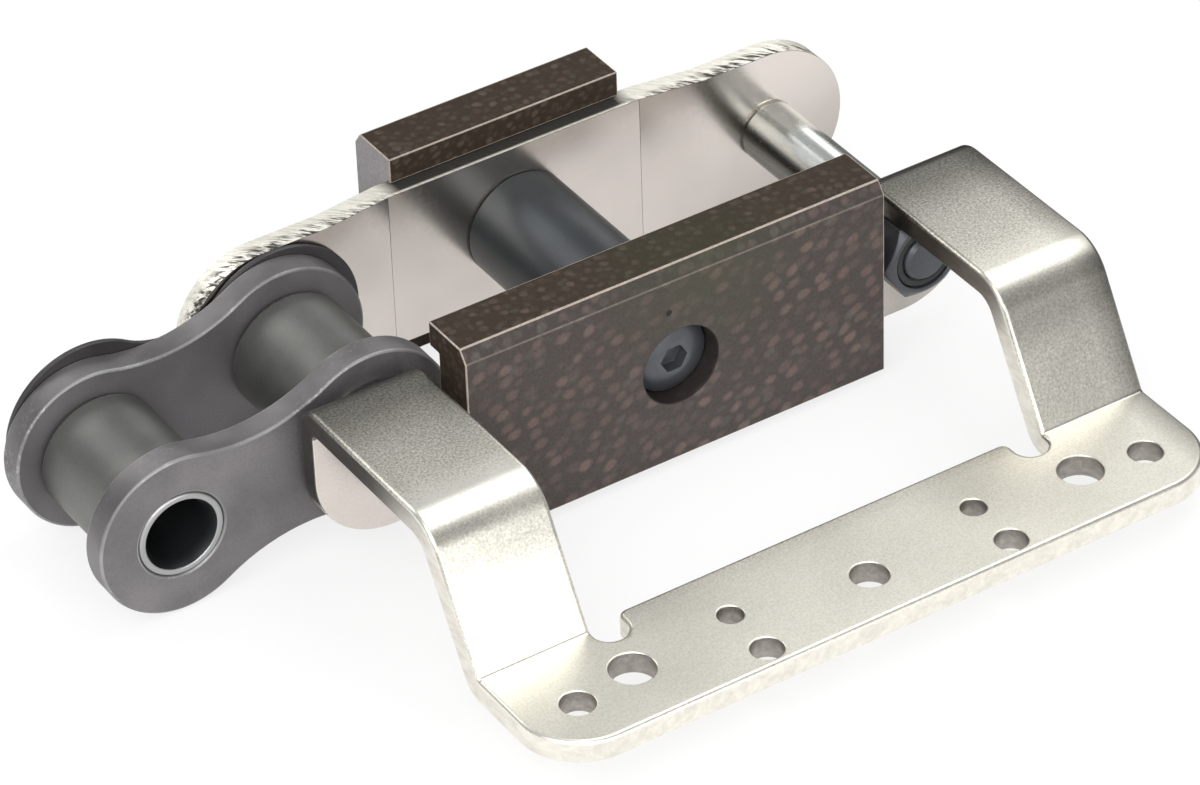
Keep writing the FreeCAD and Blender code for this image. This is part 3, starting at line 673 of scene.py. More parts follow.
def ground_steel(name, base, rough, *stops):
    """Ground steel with fine turning marks, its tone set across the piece by stops, which paint
    reflection bands.
    """
    made = new_material(name, Metallic=1.0)
    tree = made[1]
    torn = group(tree, sheared_edge, Scale=2200.0, Lean=0.0)
    grain = group(tree, metal_grain, Scale=1500.0, Slow=90.0)
    tone = tones(tree, grain["Blotch"], base, 0.92, 1.06)
    if stops:
        tone = multiply(tree, tone, along(tree, "X", -0.02, 0.006, stops))
    return coat(made, tone, run(tree, torn["Shade"], rough, rough + 0.08), torn["Height"],
                0.00001, 0.1)


# Centre and colour of a painted green reflection on the near block's top
PAINTED_REFLECTION_SPOT = Vector((MIDDLE_X + 0.004, -0.019, 0.0135))
PAINTED_REFLECTION_COLOUR = (0.085, 0.094, 0.05)
PIT = Vector((-0.03640, -0.0212, 0.00790))


def laminate(name, ground, warp, weft, amount=1.0, density=1.0, reflection_share=0.4):
    """Cloth laminate with a painted green reflection on the near block's top and one small pit.
    """
    made = new_material(name, Specular_IOR_Level=0.12)
    tree = made[1]
    cloth = group(tree, cloth_laminate, Ground=shaded(ground, 1.0), Warp=shaded(warp, 1.0),
                  Weft=shaded(weft, 1.0), Amount=amount, Density=density)
    grain = group(tree, metal_grain, Scale=1200.0, Slow=30.0)
    place = object_place(tree)
    # Painted green reflection, strongest at its centre
    reflection_distance = calc_vector(tree, "DISTANCE", place, PAINTED_REFLECTION_SPOT)
    tone = mix(tree, spread(tree, reflection_distance, 0.016, 0.003, 0.0, reflection_share), cloth["Colour"],
               shaded(PAINTED_REFLECTION_COLOUR, ground[0] / 0.09))
    pit = calc_vector(tree, "DISTANCE", place, PIT)
    tone = mix(tree, spread(tree, pit, 0.0005, 0.0003), tone, shaded(ground, 0.35))
    return coat(made, tone, run(tree, grain["Grain"], 0.46, 0.58), cloth["Height"], 0.00005, 0.3)


FINISHES = {}


def finish(name):
    """A finish by its name, made when a piece first needs it."""
    if name in FINISHES:
        return FINISHES[name]
    c = colours()
    edge_base = tuple(0.2 * a + 0.8 * b for a, b in zip(c.polished, c.nickel))
    lines, spots, threads = c.laminate_line, c.laminate_spot, c.laminate_weft
    makers = {
        "nickel": (satin_nickel,),
        # The sides' stops paint shade: dark near the web, lighter towards the bar
        "nickel_edge": (
            sheared, "satin_nickel_edge", edge_base, 900.0, 0.2, (1.05, 1.3), (0.38, 0.28),
            (-0.0145, 0.2), (-0.028, 0.34), (-0.034, 0.8), (-0.041, 1.0), (-0.05, 1.02)),
        # The web's stops paint shade: darker to the right, under the right arm
        "nickel_web": (
            grained, "satin_nickel_web", c.polished, 2400.0, 120.0, (0.96, 1.08), (0.3, 0.38),
            (0.00002, 0.15), (0.95, 1.05), "Blotch", 1.0,
            ("X", -0.02, 0.012, ((-0.02, 0.96), (-0.008, 0.85), (0.0, 0.55), (0.006, 0.7)))),
        # The hole walls' darker tones are painted shade inside the holes
        "nickel_hole": (
            sheared, "satin_nickel_hole", c.polished, 1500.0, 0.0, (0.4, 0.55), (0.45, 0.35)),
        "polished": (
            grained, "polished_nickel_face", c.polished, 1800.0, 70.0, (0.95, 1.05),
            (0.17, 0.24), (0.00002, 0.12), None, "Grain"),
        "torn": (torn_nickel,),
        "plate": (dark_steel, "phosphated_steel", c.steel),
        "plate_side": (
            rubbed_steel, "phosphated_side", c.steel, shaded(c.bright, 0.6), 0.24),
        "plate_line": (
            rubbed_steel, "phosphated_worn_line", shaded(c.bright, 0.62), shaded(c.bright, 0.9),
            0.3, 0.4),
        "cover": (dark_steel, "cover_steel", shaded(c.steel, 0.4)),
        "roller": (dark_steel, "roller_steel", c.roller, (0.85, 1.15), (0.4, 0.48), 0.7),
        "roller_edge": (
            rubbed_steel, "roller_worn_edge", c.roller, shaded(c.bright, 0.6), 0.4),
        "bush": (ground_steel, "bush_steel", c.bright, 0.36),
        # Near-black bore: painted shade in the bore and its mouth
        "bore": (dark_steel, "bush_bore", shaded(c.black, 0.4)),
        # The pin's stops are painted reflections: a dark band on its left, a bright middle and a
        # darker right side
        "pin": (
            ground_steel, "pin_steel", c.pin, 0.2, (-0.02, 0.8), (-0.0045, 0.8),
            (-0.0038, 0.22), (-0.0018, 0.34), (-0.001, 1.1), (0.0015, 1.1), (0.0034, 0.9)),
        "tube": (dark_steel, "black_tube", c.black, (0.9, 1.1), (0.32, 0.38), 0.5),
        "screw": (dark_steel, "black_screw", c.screw, (0.9, 1.2), (0.3, 0.4), 0.5),
        "nut": (dark_steel, "black_nut", shaded(c.screw, 0.95), (0.9, 1.2), (0.3, 0.38), 0.5),
        "ring": (dark_steel, "lock_ring", shaded(c.black, 0.3), (0.9, 1.1), (0.5, 0.6), 0.0),
        "block": (
            laminate, "cloth_laminate", shaded(c.laminate, 0.46), shaded(spots, 0.66),
            shaded(threads, 0.56), 0.88),
        # A darker, browner copy of the laminate: painted shade on the tops, the near block's ends
        # and the far block's near faces
        "block_top": (
            laminate, "cloth_laminate_top", (0.036, 0.026, 0.018), (0.1, 0.074, 0.06),
            (0.052, 0.045, 0.033), 0.75, 1.7),
        # A darker copy of the laminate for the chamfers: painted shade
        "block_bevel": (
            laminate, "cloth_laminate_bevel", shaded(c.laminate, 0.38), shaded(spots, 0.5),
            shaded(threads, 0.5), 0.8, 1.3),
        "block_line": (
            laminate, "cloth_laminate_edge", lines, shaded(lines, 1.3), shaded(lines, 1.1),
            1.0, 1.0, 0.0),
        # A dimmer copy of the edge line: painted shade on the chamfer's lower edge
        "block_faint": (
            laminate, "cloth_laminate_faint_edge", shaded(lines, 0.38), shaded(lines, 0.5),
            shaded(lines, 0.45), 1.0, 1.0, 0.0),
        # A lighter, greyer copy of the laminate for the far block's ends: painted light
        "block_end": (
            laminate, "cloth_laminate_end", (0.25, 0.235, 0.242), (0.29, 0.27, 0.27),
            (0.23, 0.22, 0.23), 0.4),
        # A dark copy of the laminate for the counterbore's walls: painted shade in the recess
        "counterbore": (
            laminate, "cloth_laminate_bore", shaded(c.laminate, 0.2), shaded(c.laminate, 0.3),
            shaded(c.laminate, 0.25)),
    }
    maker, *values = makers[name]
    FINISHES[name] = maker(*values)
    return FINISHES[name]


# Inner link

def waisted_plate(node, end, waist, shift=0.0, rise=0.0, tilt=0.0):
    """A drilled plate with round ends and hollow waist, as thick and deep as its node."""
    low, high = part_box(node)
    reach = (FREE - JOINT).length
    forward = (FREE - JOINT).normalized()
    upward = Vector((-forward.z, 0, forward.x)) * math.copysign(1, forward.x)
    half = reach / 2
    waist_radius = (half * half + waist * waist - end * end) / (2 * (end - waist))
    waist_height = waist + waist_radius
    share = end / (end + waist_radius)
    turn = Matrix.Rotation(tilt, 2)

    def spot(x, z):
        x, z = turn @ Vector((x, z))
        point = JOINT + forward * (x - shift) + upward * (z + rise)
        return Vector((point.x, high.y, point.z))

    near, far, edge = half * share, reach - half * share, waist_height * share
    pen = Pen(spot(near, -edge))
    pen.arc(spot(0, 0), spot(near, edge), -ACROSS)
    pen.arc(spot(half, waist_height), spot(far, edge), ACROSS)
    pen.arc(spot(reach, 0), spot(far, -edge), -ACROSS)
    pen.arc(spot(half, -waist_height), spot(near, -edge), ACROSS)
    piece = pen.thicken(-ACROSS * (high.y - low.y))
    hole = sizes().bush_radius + PRESSED
    drill(piece, ACROSS, 0.03, (JOINT, hole), (FREE, hole))
    tidy(piece)
    return piece


class CHAIN_OT_inner_plates(bpy.types.Operator):
    """Model the two waisted inner plates with their rubbed edges"""

    bl_idname = "chain.inner_plates"
    bl_label = "Inner plates"

    def execute(self, context):
        s = sizes()
        for node in ("near_inner_plate", "far_inner_plate"):
            complete(waisted_plate(node, s.end_radius, s.waist), "inner_link",
                     node, ("plate", "plate_side", "plate_line"), s.plate_round, 3, 50,
                     "plate_line", by_side("plate", "plate_side"))
        return {"FINISHED"}


class CHAIN_OT_cover_plate(bpy.types.Operator):
    """Model the thin cover plate on the far bush ends"""

    bl_idname = "chain.cover_plate"
    bl_label = "Cover plate"

    def execute(self, context):
        s = sizes()
        piece = waisted_plate("cover_plate", s.cover_end, s.cover_waist, s.cover_shift, 0.0001,
                              math.radians(2.0))
        complete(piece, "inner_link", "cover_plate", ("cover",), 0.0002, 2, 50)
        return {"FINISHED"}


class CHAIN_OT_bushes(bpy.types.Operator):
    """Turn the two bushes with their chamfered mouths"""

    bl_idname = "chain.bushes"
    bl_label = "Bushes"

    def execute(self, context):
        s = sizes()
        mouth, lead, edge = 0.00065, 0.0016, 0.00022
        for node, centre in (("joint_bush", JOINT), ("free_bush", FREE)):
            low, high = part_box(node)
            piece = turned(centre, [
                (s.bore_radius + mouth, low.y), (s.bush_radius - edge, low.y),
                (s.bush_radius, low.y + edge), (s.bush_radius, high.y - edge),
                (s.bush_radius - edge, high.y), (s.bore_radius + mouth, high.y),
                (s.bore_radius, high.y - lead), (s.bore_radius, low.y + lead)])

            def inside(face, worn, centre=centre):
                out = face.center - centre
                inward = face.normal.x * out.x + face.normal.z * out.z < 0
                # The bore and its mouth's chamfer get the near-black finish: painted shade
                return "bore" if inward and abs(face.normal.y) < 0.6 else "bush"

            complete(piece, "inner_link", node, ("bush", "bore"), 0.00012,
                     chooser=inside)
        return {"FINISHED"}


class CHAIN_OT_rollers(bpy.types.Operator):
    """Turn the two rollers with their worn ends"""

    bl_idname = "chain.rollers"
    bl_label = "Rollers"

    def execute(self, context):
        s = sizes()
        r, bore, edge = s.roller_radius, s.bush_radius + 0.00005, 0.0005
        for node, centre in (("joint_roller", JOINT), ("free_roller", FREE)):
            low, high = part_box(node)
            piece = turned(centre, [
                (bore, low.y), (r - edge, low.y), (r, low.y + edge), (r, high.y - edge),
                (r - edge, high.y), (bore, high.y)], steps=128)
            complete(piece, node, node, ("roller", "roller_edge"), 0.00025, 3,
                     30, "roller_edge")
        return {"FINISHED"}


# Outer link

def both_sides(half):
    """The points of a right half, with their mirror points before them."""
    return [(-x, y) for x, y in reversed(half)] + half


class CHAIN_OT_far_plate(bpy.types.Operator):
    """Model the polished far plate, stepped in the middle, with its torn edge"""

    bl_idname = "chain.far_plate"
    bl_label = "Far plate"

    def execute(self, context):
        low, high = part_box("far_link_plate")
        thick, fold, flat, line = 0.003, 0.0174, 0.026, 0.000035
        step = high.y - low.y - thick
        reach = high.x - MIDDLE_X + 0.002
        near = both_sides([(fold - line, step), (fold, step + line), (fold + line, step),
                           (flat, 0.0), (reach, 0.0)])
        far = both_sides([(fold, step + thick), (flat, thick), (reach, thick)])
        piece = prism([(MIDDLE_X + x, low.y + y, -0.012) for x, y in near + far[::-1]],
                      UP * 0.024)
        r = sizes().outer_end
        trim = Pen((0, 0, -r))
        trim.arc(RIGHT, (0, 0, r), -ACROSS, 3.0)
        trim.line((JOINT.x, 0, r))
        trim.arc(JOINT, (JOINT.x, 0, -r), -ACROSS, 3.0)
        trim.line((0, 0, -r))
        combine(piece, trim.thicken(ACROSS * 0.03), "INTERSECT")
        drill(piece, ACROSS, 0.03, (JOINT, PIN_TAIL + PRESSED), (RIGHT, PIN_TAIL + PRESSED),
              (MIDDLE, SCREW_HOLE + PRESSED))
        tidy(piece)
        complete(piece, "outer_link", "far_link_plate",
                 ("polished", "torn", "nickel"), 0.00025, 2, 50, "nickel",
                 by_side("polished", "torn"))
        return {"FINISHED"}


# The web's holes as (x, radius), and the bar's as (x from the middle on both sides, y, radius)
WEB_HOLES = ((JOINT.x, PIN_HOLE), (RIGHT.x, PIN_HOLE), (MIDDLE_X, SCREW_HOLE))
BAR_HOLES = (
    (0.0382, -0.0581, 0.0020), (0.0302, -0.0566, 0.00265), (0.0164, -0.0551, 0.0015),
    (0.0164, -0.0622, 0.0019), (0.0, -0.0582, 0.0022))
SHEET_FINISHES = ("nickel", "nickel_edge", "nickel_web", "nickel_hole")


def off_rim(point):
    """How far a point of the sheet lies from the nearest drilled rim."""
    x, y, z = point
    if y > -0.02:
        return min(abs(math.hypot(x - hole_x, z) - radius) for hole_x, radius in WEB_HOLES)
    return min(abs(math.hypot(abs(x - MIDDLE_X) - hole_x, y - hole_y) - radius)
               for hole_x, hole_y, radius in BAR_HOLES)


def bar_corner(sign, side, front, radius):
    """What is cut off one front corner of the bar to leave it round."""
    margin, z = 0.001, -0.02
    x, back = MIDDLE_X + sign * side, front + radius
    pen = Pen((x, back, z))
    pen.arc((x - sign * radius, back, z), (x - sign * radius, front, z), UP * -sign, 4)
    pen.line((x - sign * radius, front - margin, z), (x + sign * margin, front - margin, z),
             (x + sign * margin, back, z), (x, back, z))
    return pen.thicken(UP * 0.02)


class CHAIN_OT_attachment_plate(bpy.types.Operator):
    """Model the bent sheet: web, two arms and the drilled bar"""

    bl_idname = "chain.attachment_plate"
    bl_label = "Attachment plate"

    def execute(self, context):
        s = sizes()
        low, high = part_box("attachment_plate")
        t, web_back, bar_front = s.sheet, high.y, low.y
        web_front = web_back - t
        top, bar_top, arm_front, bar_back = 0.0092, -0.00633, -0.0398, -0.04745
        slant = math.radians(60)
        out = Vector((0, -math.sin(slant), math.cos(slant)))

        # Section of the sheet, from the web's foot of the bend to the bar's front
        left, right = low.x, high.x
        first = Vector((left, web_back - s.web_bend, top - s.web_bend))
        second = Vector((left, arm_front + s.arm_bend * math.tan(slant / 2), top - s.arm_bend))
        slope_end = arm_front - (top - bar_top) / math.tan(slant)
        crease_y = slope_end - s.crease_bend * math.tan(slant / 2)
        crease = Vector((left, crease_y, bar_top + s.crease_bend))

        def at(y, z):
            return Vector((left, y, z))

        pen = Pen(at(web_back, first.z))
        pen.arc(first, at(first.y, top), ALONG, 6)
        pen.line(at(second.y, top))
        pen.arc(second, second + out * s.arm_bend, ALONG, 5)
        pen.line(crease - out * s.crease_bend)
        pen.arc(crease, at(crease.y, bar_top), -ALONG, 12)
        pen.line(at(bar_front, bar_top), at(bar_front, bar_top - t), at(crease.y, bar_top - t))
        pen.arc(crease, crease - out * (s.crease_bend + t), ALONG, 5)
        pen.line(second + out * (s.arm_bend - t))
        pen.arc(second, at(second.y, top - t), -ALONG, 6)
        pen.line(at(first.y, top - t))
        pen.arc(first, at(web_front, first.z), -ALONG, 12)
        pen.line(at(web_back, first.z))
        piece = pen.thicken(ALONG * (right - left))

        # The window between the arms, with a round slot beside each arm
        outer, radius = s.arm_inner, s.slot_width / 2
        middle, inner = outer - radius, outer - s.slot_width
        slot_y = slope_end - 0.0027 + radius

        def above(x, y, z=-0.02):
            return Vector((MIDDLE_X + x, y, z))

        pen = Pen(above(-outer, 0))
        for start, centre, end in ((-outer, -middle, -inner), (inner, middle, outer)):
            pen.line(above(start, slot_y))
            pen.arc(above(centre, slot_y), above(end, slot_y), UP, 6)
        pen.line(above(outer, 0), above(-outer, 0))
        combine(piece, pen.thicken(UP * 0.04))

        # The bar's own back edge lies flat between the slots
        under, corner = bar_top - t, s.bar_back_corner
        pen = Pen(above(-inner, slot_y, under))
        pen.line(above(-inner, bar_back - corner, under))
        pen.arc(above(corner - inner, bar_back - corner, under),
                above(corner - inner, bar_back, under), -UP, 6)
        pen.line(above(inner - corner, bar_back, under))
        pen.arc(above(inner - corner, bar_back - corner, under),
                above(inner, bar_back - corner, under), -UP, 6)
        pen.line(above(inner, slot_y, under), above(-inner, slot_y, under))
        weld(piece, pen.thicken(UP * t), 1, slot_y)

        # The web, with the same slots at the foot of each arm
        foot, corner, relief = low.z, 0.0098, first.z - 0.0003
        west, east, web_top = left - MIDDLE_X, right - MIDDLE_X, high.z

        def back(x, z):
            return Vector((MIDDLE_X + x, web_back, z))

        pen = Pen(back(west, first.z))
        pen.line(back(west, foot + corner))
        pen.arc(back(corner + west, foot + corner), back(corner + west, foot), -ACROSS, 5)
        pen.line(back(east - corner, foot))
        pen.arc(back(east - corner, foot + corner), back(east, foot + corner), -ACROSS, 5)
        pen.line(back(east, first.z), back(outer, first.z))
        for start, centre, end in ((outer, middle, inner), (-inner, -middle, -outer)):
            pen.line(back(start, relief))
            pen.arc(back(centre, relief), back(end, relief), ACROSS, 8)
            if end > 0:
                pen.line(back(inner, web_top), back(-inner, web_top))
        pen.line(back(-outer, first.z), back(west, first.z))
        weld(piece, pen.thicken(-ACROSS * t), 2, first.z)

        # Holes and the bar's front corners
        drill(piece, ACROSS, t, *(
            (Vector((x, web_back - t / 2, 0)), radius) for x, radius in WEB_HOLES))
        drill(piece, UP, t, *(
            (Vector((MIDDLE_X + sign * x, y, bar_top - t / 2)), radius)
            for x, y, radius in BAR_HOLES for sign in ((-1, 1) if x else (1,))))
        for sign in (-1, 1):
            combine(piece, bar_corner(sign, east, bar_front, s.bar_corner))
        tidy(piece, 4e-5)
        wear(piece, SHEET_FINISHES)

        def exposed(face):
            n = face.normal
            return n.z > 0.3 or (n.y > 0.5 and face.center.y > -0.014)

        def share(rim, pair):
            """The full rounding round the sheet's outer face, a small one at holes and inside."""
            ends = [piece.data.vertices[index].co for index in rim.vertices]
            drilled = max(off_rim(point) for point in ends) < 0.00002
            full = any(exposed(face) for face in pair) and not drilled
            return 1.0 if full else s.rim_round / s.sheet_round

        round_weighted(piece, s.sheet_round, share)
        tidy(piece)

        def choose(face, worn):
            n, spot = face.normal, face.center
            for x, y, radius in BAR_HOLES:
                away = math.hypot(abs(spot.x - MIDDLE_X) - x, spot.y - y)
                if away < radius + 0.00005 and abs(n.z) < 0.7:
                    return "nickel_hole"
            if abs(n.z) < 0.35 and (abs(n.x) > 0.5 or spot.y < bar_front + 0.009):
                return "nickel_edge"
            if spot.y > web_front - 0.0001 and spot.z < first.z:
                return "nickel_web"
            return "nickel"

        dress(piece, "outer_link", "attachment_plate", SHEET_FINISHES, choose)
        return {"FINISHED"}


class CHAIN_OT_pins(bpy.types.Operator):
    """Turn the two pins: threaded end, shouldered shank and riveted head"""

    bl_idname = "chain.pins"
    bl_label = "Pins"

    def execute(self, context):
        s = sizes()
        web_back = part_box("attachment_plate")[1].y
        far_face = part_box("far_link_plate")[0].y
        far_back = far_face + 0.003
        r, stud, edge, tip = s.pin_radius, s.stud_radius, 0.0004, 0.0005
        for node, centre in (("joint_pin", JOINT), ("right_pin", RIGHT)):
            low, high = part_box(node)
            piece = turned(centre, [
                (0, low.y), (stud - tip, low.y), (stud, low.y + tip), (stud, web_back),
                (r - edge, web_back), (r, web_back + edge), (r, far_face - edge),
                (r - edge, far_face), (PIN_TAIL, far_face), (PIN_TAIL, far_back),
                (0.0045, far_back), (0.0040, far_back + 0.0006), (0.0025, far_back + 0.0011),
                (0, high.y)], closed=False)

            def choose(face, worn):
                return "nut" if face.center.y < web_back - 0.0005 else "pin"

            complete(piece, "outer_link", node, ("pin", "nut"), 0.00015, 2, 25,
                     chooser=choose)
        return {"FINISHED"}


class CHAIN_OT_nuts(bpy.types.Operator):
    """Model the lock nuts of the pins and the rings in their ends"""

    bl_idname = "chain.nuts"
    bl_label = "Pin nuts"

    def execute(self, context):
        stud = sizes().stud_radius + 0.00005
        for name, centre in (("joint", JOINT), ("right", RIGHT)):
            low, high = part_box(f"{name}_pin_nut")
            middle = Vector((centre.x, (low.y + high.y) / 2, centre.z))
            nut = hexagon(middle, 0.010, high.y - low.y, 4.6)
            combine(nut, turned(centre, [
                (0, low.y), (0.0046, low.y), (0.0062, low.y + 0.0011), (0.0062, high.y),
                (0, high.y)], closed=False), "INTERSECT")
            drill(nut, ACROSS, 0.01, (middle, stud))
            drill(nut, ACROSS, 0.0017, (Vector((centre.x, low.y, centre.z)), 0.00415))
            tidy(nut)
            complete(nut, "outer_link", f"{name}_pin_nut", ("nut",), 0.0002, 3)
            low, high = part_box(f"{name}_nut_ring")
            ring = turned(centre, [
                (0.00305, low.y + 0.0002), (0.0033, low.y), (0.0039, low.y),
                (0.0041, low.y + 0.0002), (0.0041, high.y), (0.00305, high.y)])
            complete(ring, "outer_link", f"{name}_nut_ring", ("ring",), 0.0001)
        return {"FINISHED"}


class CHAIN_OT_spacer(bpy.types.Operator):
    """Turn the spacer tube and the thrust washer"""

    bl_idname = "chain.spacer"
    bl_label = "Spacer tube"

    def execute(self, context):
        s = sizes()
        low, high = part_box("spacer_tube")
        r, edge = s.tube_radius, 0.0003
        tube = turned(MIDDLE, [
            (SCREW_HOLE, low.y), (r - edge, low.y), (r, low.y + edge), (r, high.y - edge),
            (r - edge, high.y), (SCREW_HOLE, high.y)], steps=128)
        complete(tube, "outer_link", "spacer_tube", ("tube",), 0.00015)
        low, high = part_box("thrust_washer")
        r, bore = 0.0067, s.bore_radius
        washer = turned(JOINT, [(bore, low.y), (r, low.y), (r, high.y), (bore, high.y)])
        complete(washer, "outer_link", "thrust_washer", ("pin",), 0.00015)
        return {"FINISHED"}


BLOCK_FINISHES = ("block", "block_top", "block_line", "block_faint", "counterbore",
                  "block_end", "block_bevel")


class CHAIN_OT_glide_blocks(bpy.types.Operator):
    """Model the two laminate glide blocks with their channels, bevels and counterbores"""

    bl_idname = "chain.glide_blocks"
    bl_label = "Glide blocks"

    def execute(self, context):
        deep, tall = 0.00115, 0.0016
        web_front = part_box("attachment_plate")[1].y - sizes().sheet
        low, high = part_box("near_glide_block")
        floor, ceiling = -0.0107, 0.0103
        near = [(low.y, low.z), (high.y, low.z), (high.y, floor), (web_front, floor),
                (web_front, ceiling), (high.y, ceiling), (high.y, high.z),
                (low.y + deep, high.z), (low.y, high.z - tall)]
        self.block("near_glide_block", near, low, high, low.y, SCREW_SEAT)
        low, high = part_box("far_glide_block")
        face, ceiling = 0.01635, 0.0107
        far = [(low.y, low.z), (high.y - deep, low.z), (high.y, low.z + tall),
               (high.y, high.z - tall), (high.y - deep, high.z), (low.y, high.z),
               (low.y, ceiling), (face, ceiling), (face, -ceiling), (low.y, -ceiling)]
        self.block("far_glide_block", far, low, high, high.y, 0.01785)
        return {"FINISHED"}

    def block(self, node, outline, low, high, mouth, seat):
        """One block. Its counterbore goes from the mouth, at a face, to the seat."""
        piece = prism([(low.x, y, z) for y, z in outline], ALONG * (high.x - low.x))
        start = Vector((MIDDLE_X, mouth, 0))
        drill(piece, ACROSS, abs(seat - mouth), (start, 0.00505))
        drill(piece, ACROSS, 0.02, (start, SCREW_HOLE))
        tidy(piece)

        def choose(face, worn):
            normal, spot = face.normal, face.center
            outside = abs(spot.y - mouth) < 0.00001
            # The counterbore's walls get the dark copy: painted shade
            if math.hypot(spot.x - MIDDLE_X, spot.z) < 0.0053 and not outside:
                return "counterbore"
            if worn:
                # The chamfer's lower edge line gets the dimmer copy: painted shade
                lower = high.z - 0.0019 < spot.z < high.z - 0.0013
                return "block_faint" if lower and abs(normal.x) < 0.2 else None
            # The far block's ends get the lighter copy: painted light
            if node == "far_glide_block" and abs(normal.x) > 0.9:
                return "block_end"
            # Chamfers get the darker copy: painted shade
            if 0.3 < normal.z < 0.9:
                return "block_bevel"
            # Tops, bottoms, the near block's ends and the far block's near faces get the darker
            # copy: painted shade
            plain = node == "near_glide_block" and normal.y < -0.9
            return "block" if plain or normal.y > 0.9 else "block_top"

        complete(piece, "outer_link", node, BLOCK_FINISHES, sizes().block_round, 2,
                 25, "block_line", choose)


class CHAIN_OT_block_screw(bpy.types.Operator):
    """Turn the crowned socket screw and model its nut"""

    bl_idname = "chain.block_screw"
    bl_label = "Block screw"

    def execute(self, context):
        low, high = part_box("block_screw")
        head, shank, tip = 0.0048, 0.0025, 0.0005
        piece = turned(MIDDLE, [
            (0, low.y), (0.0012, low.y + 0.00006), (0.0024, low.y + 0.00024),
            (0.0036, low.y + 0.00055), (head, low.y + 0.001), (head, SCREW_SEAT),
            (shank, SCREW_SEAT), (shank, high.y - tip), (shank - tip, high.y), (0, high.y)],
            closed=False)
        combine(piece, hexagon(Vector((MIDDLE_X, low.y, 0)), 0.0031, 0.0034))
        tidy(piece)
        complete(piece, "outer_link", "block_screw", ("screw",), 0.00015, 2, 32)
        low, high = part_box("block_nut")
        middle = Vector((MIDDLE_X, (low.y + high.y) / 2, 0))
        nut = hexagon(middle, 0.008, high.y - low.y)
        drill(nut, ACROSS, 0.01, (middle, shank + 0.00005))
        tidy(nut)
        complete(nut, "outer_link", "block_nut", ("nut",), 0.0002)
        return {"FINISHED"}


# Stage

CAMERA_PLACE = Vector((-0.315795, -0.45582, 0.38486))
CAMERA_TURN = (-31.853, -36.673, -2.149)
BEHIND = (0.5, 0.86, 0.0)
WHITE = (1.0, 1.0, 1.0, 1.0)


def softbox(name, place, size, power):
    """A white area lamp that looks at the middle of the part."""
    bpy.ops.object.select_all(action="DESELECT")
    bpy.ops.object.light_add(type="AREA", location=place)
    lamp = bpy.context.active_object
    lamp.name = name
    lamp.data.shape = "RECTANGLE"
    lamp.data.size, lamp.data.size_y = size
    lamp.data.energy = power
    aim = Vector((MIDDLE_X, -0.02, 0)) - Vector(place)
    lamp.rotation_euler = aim.to_track_quat("-Z", "Y").to_euler()


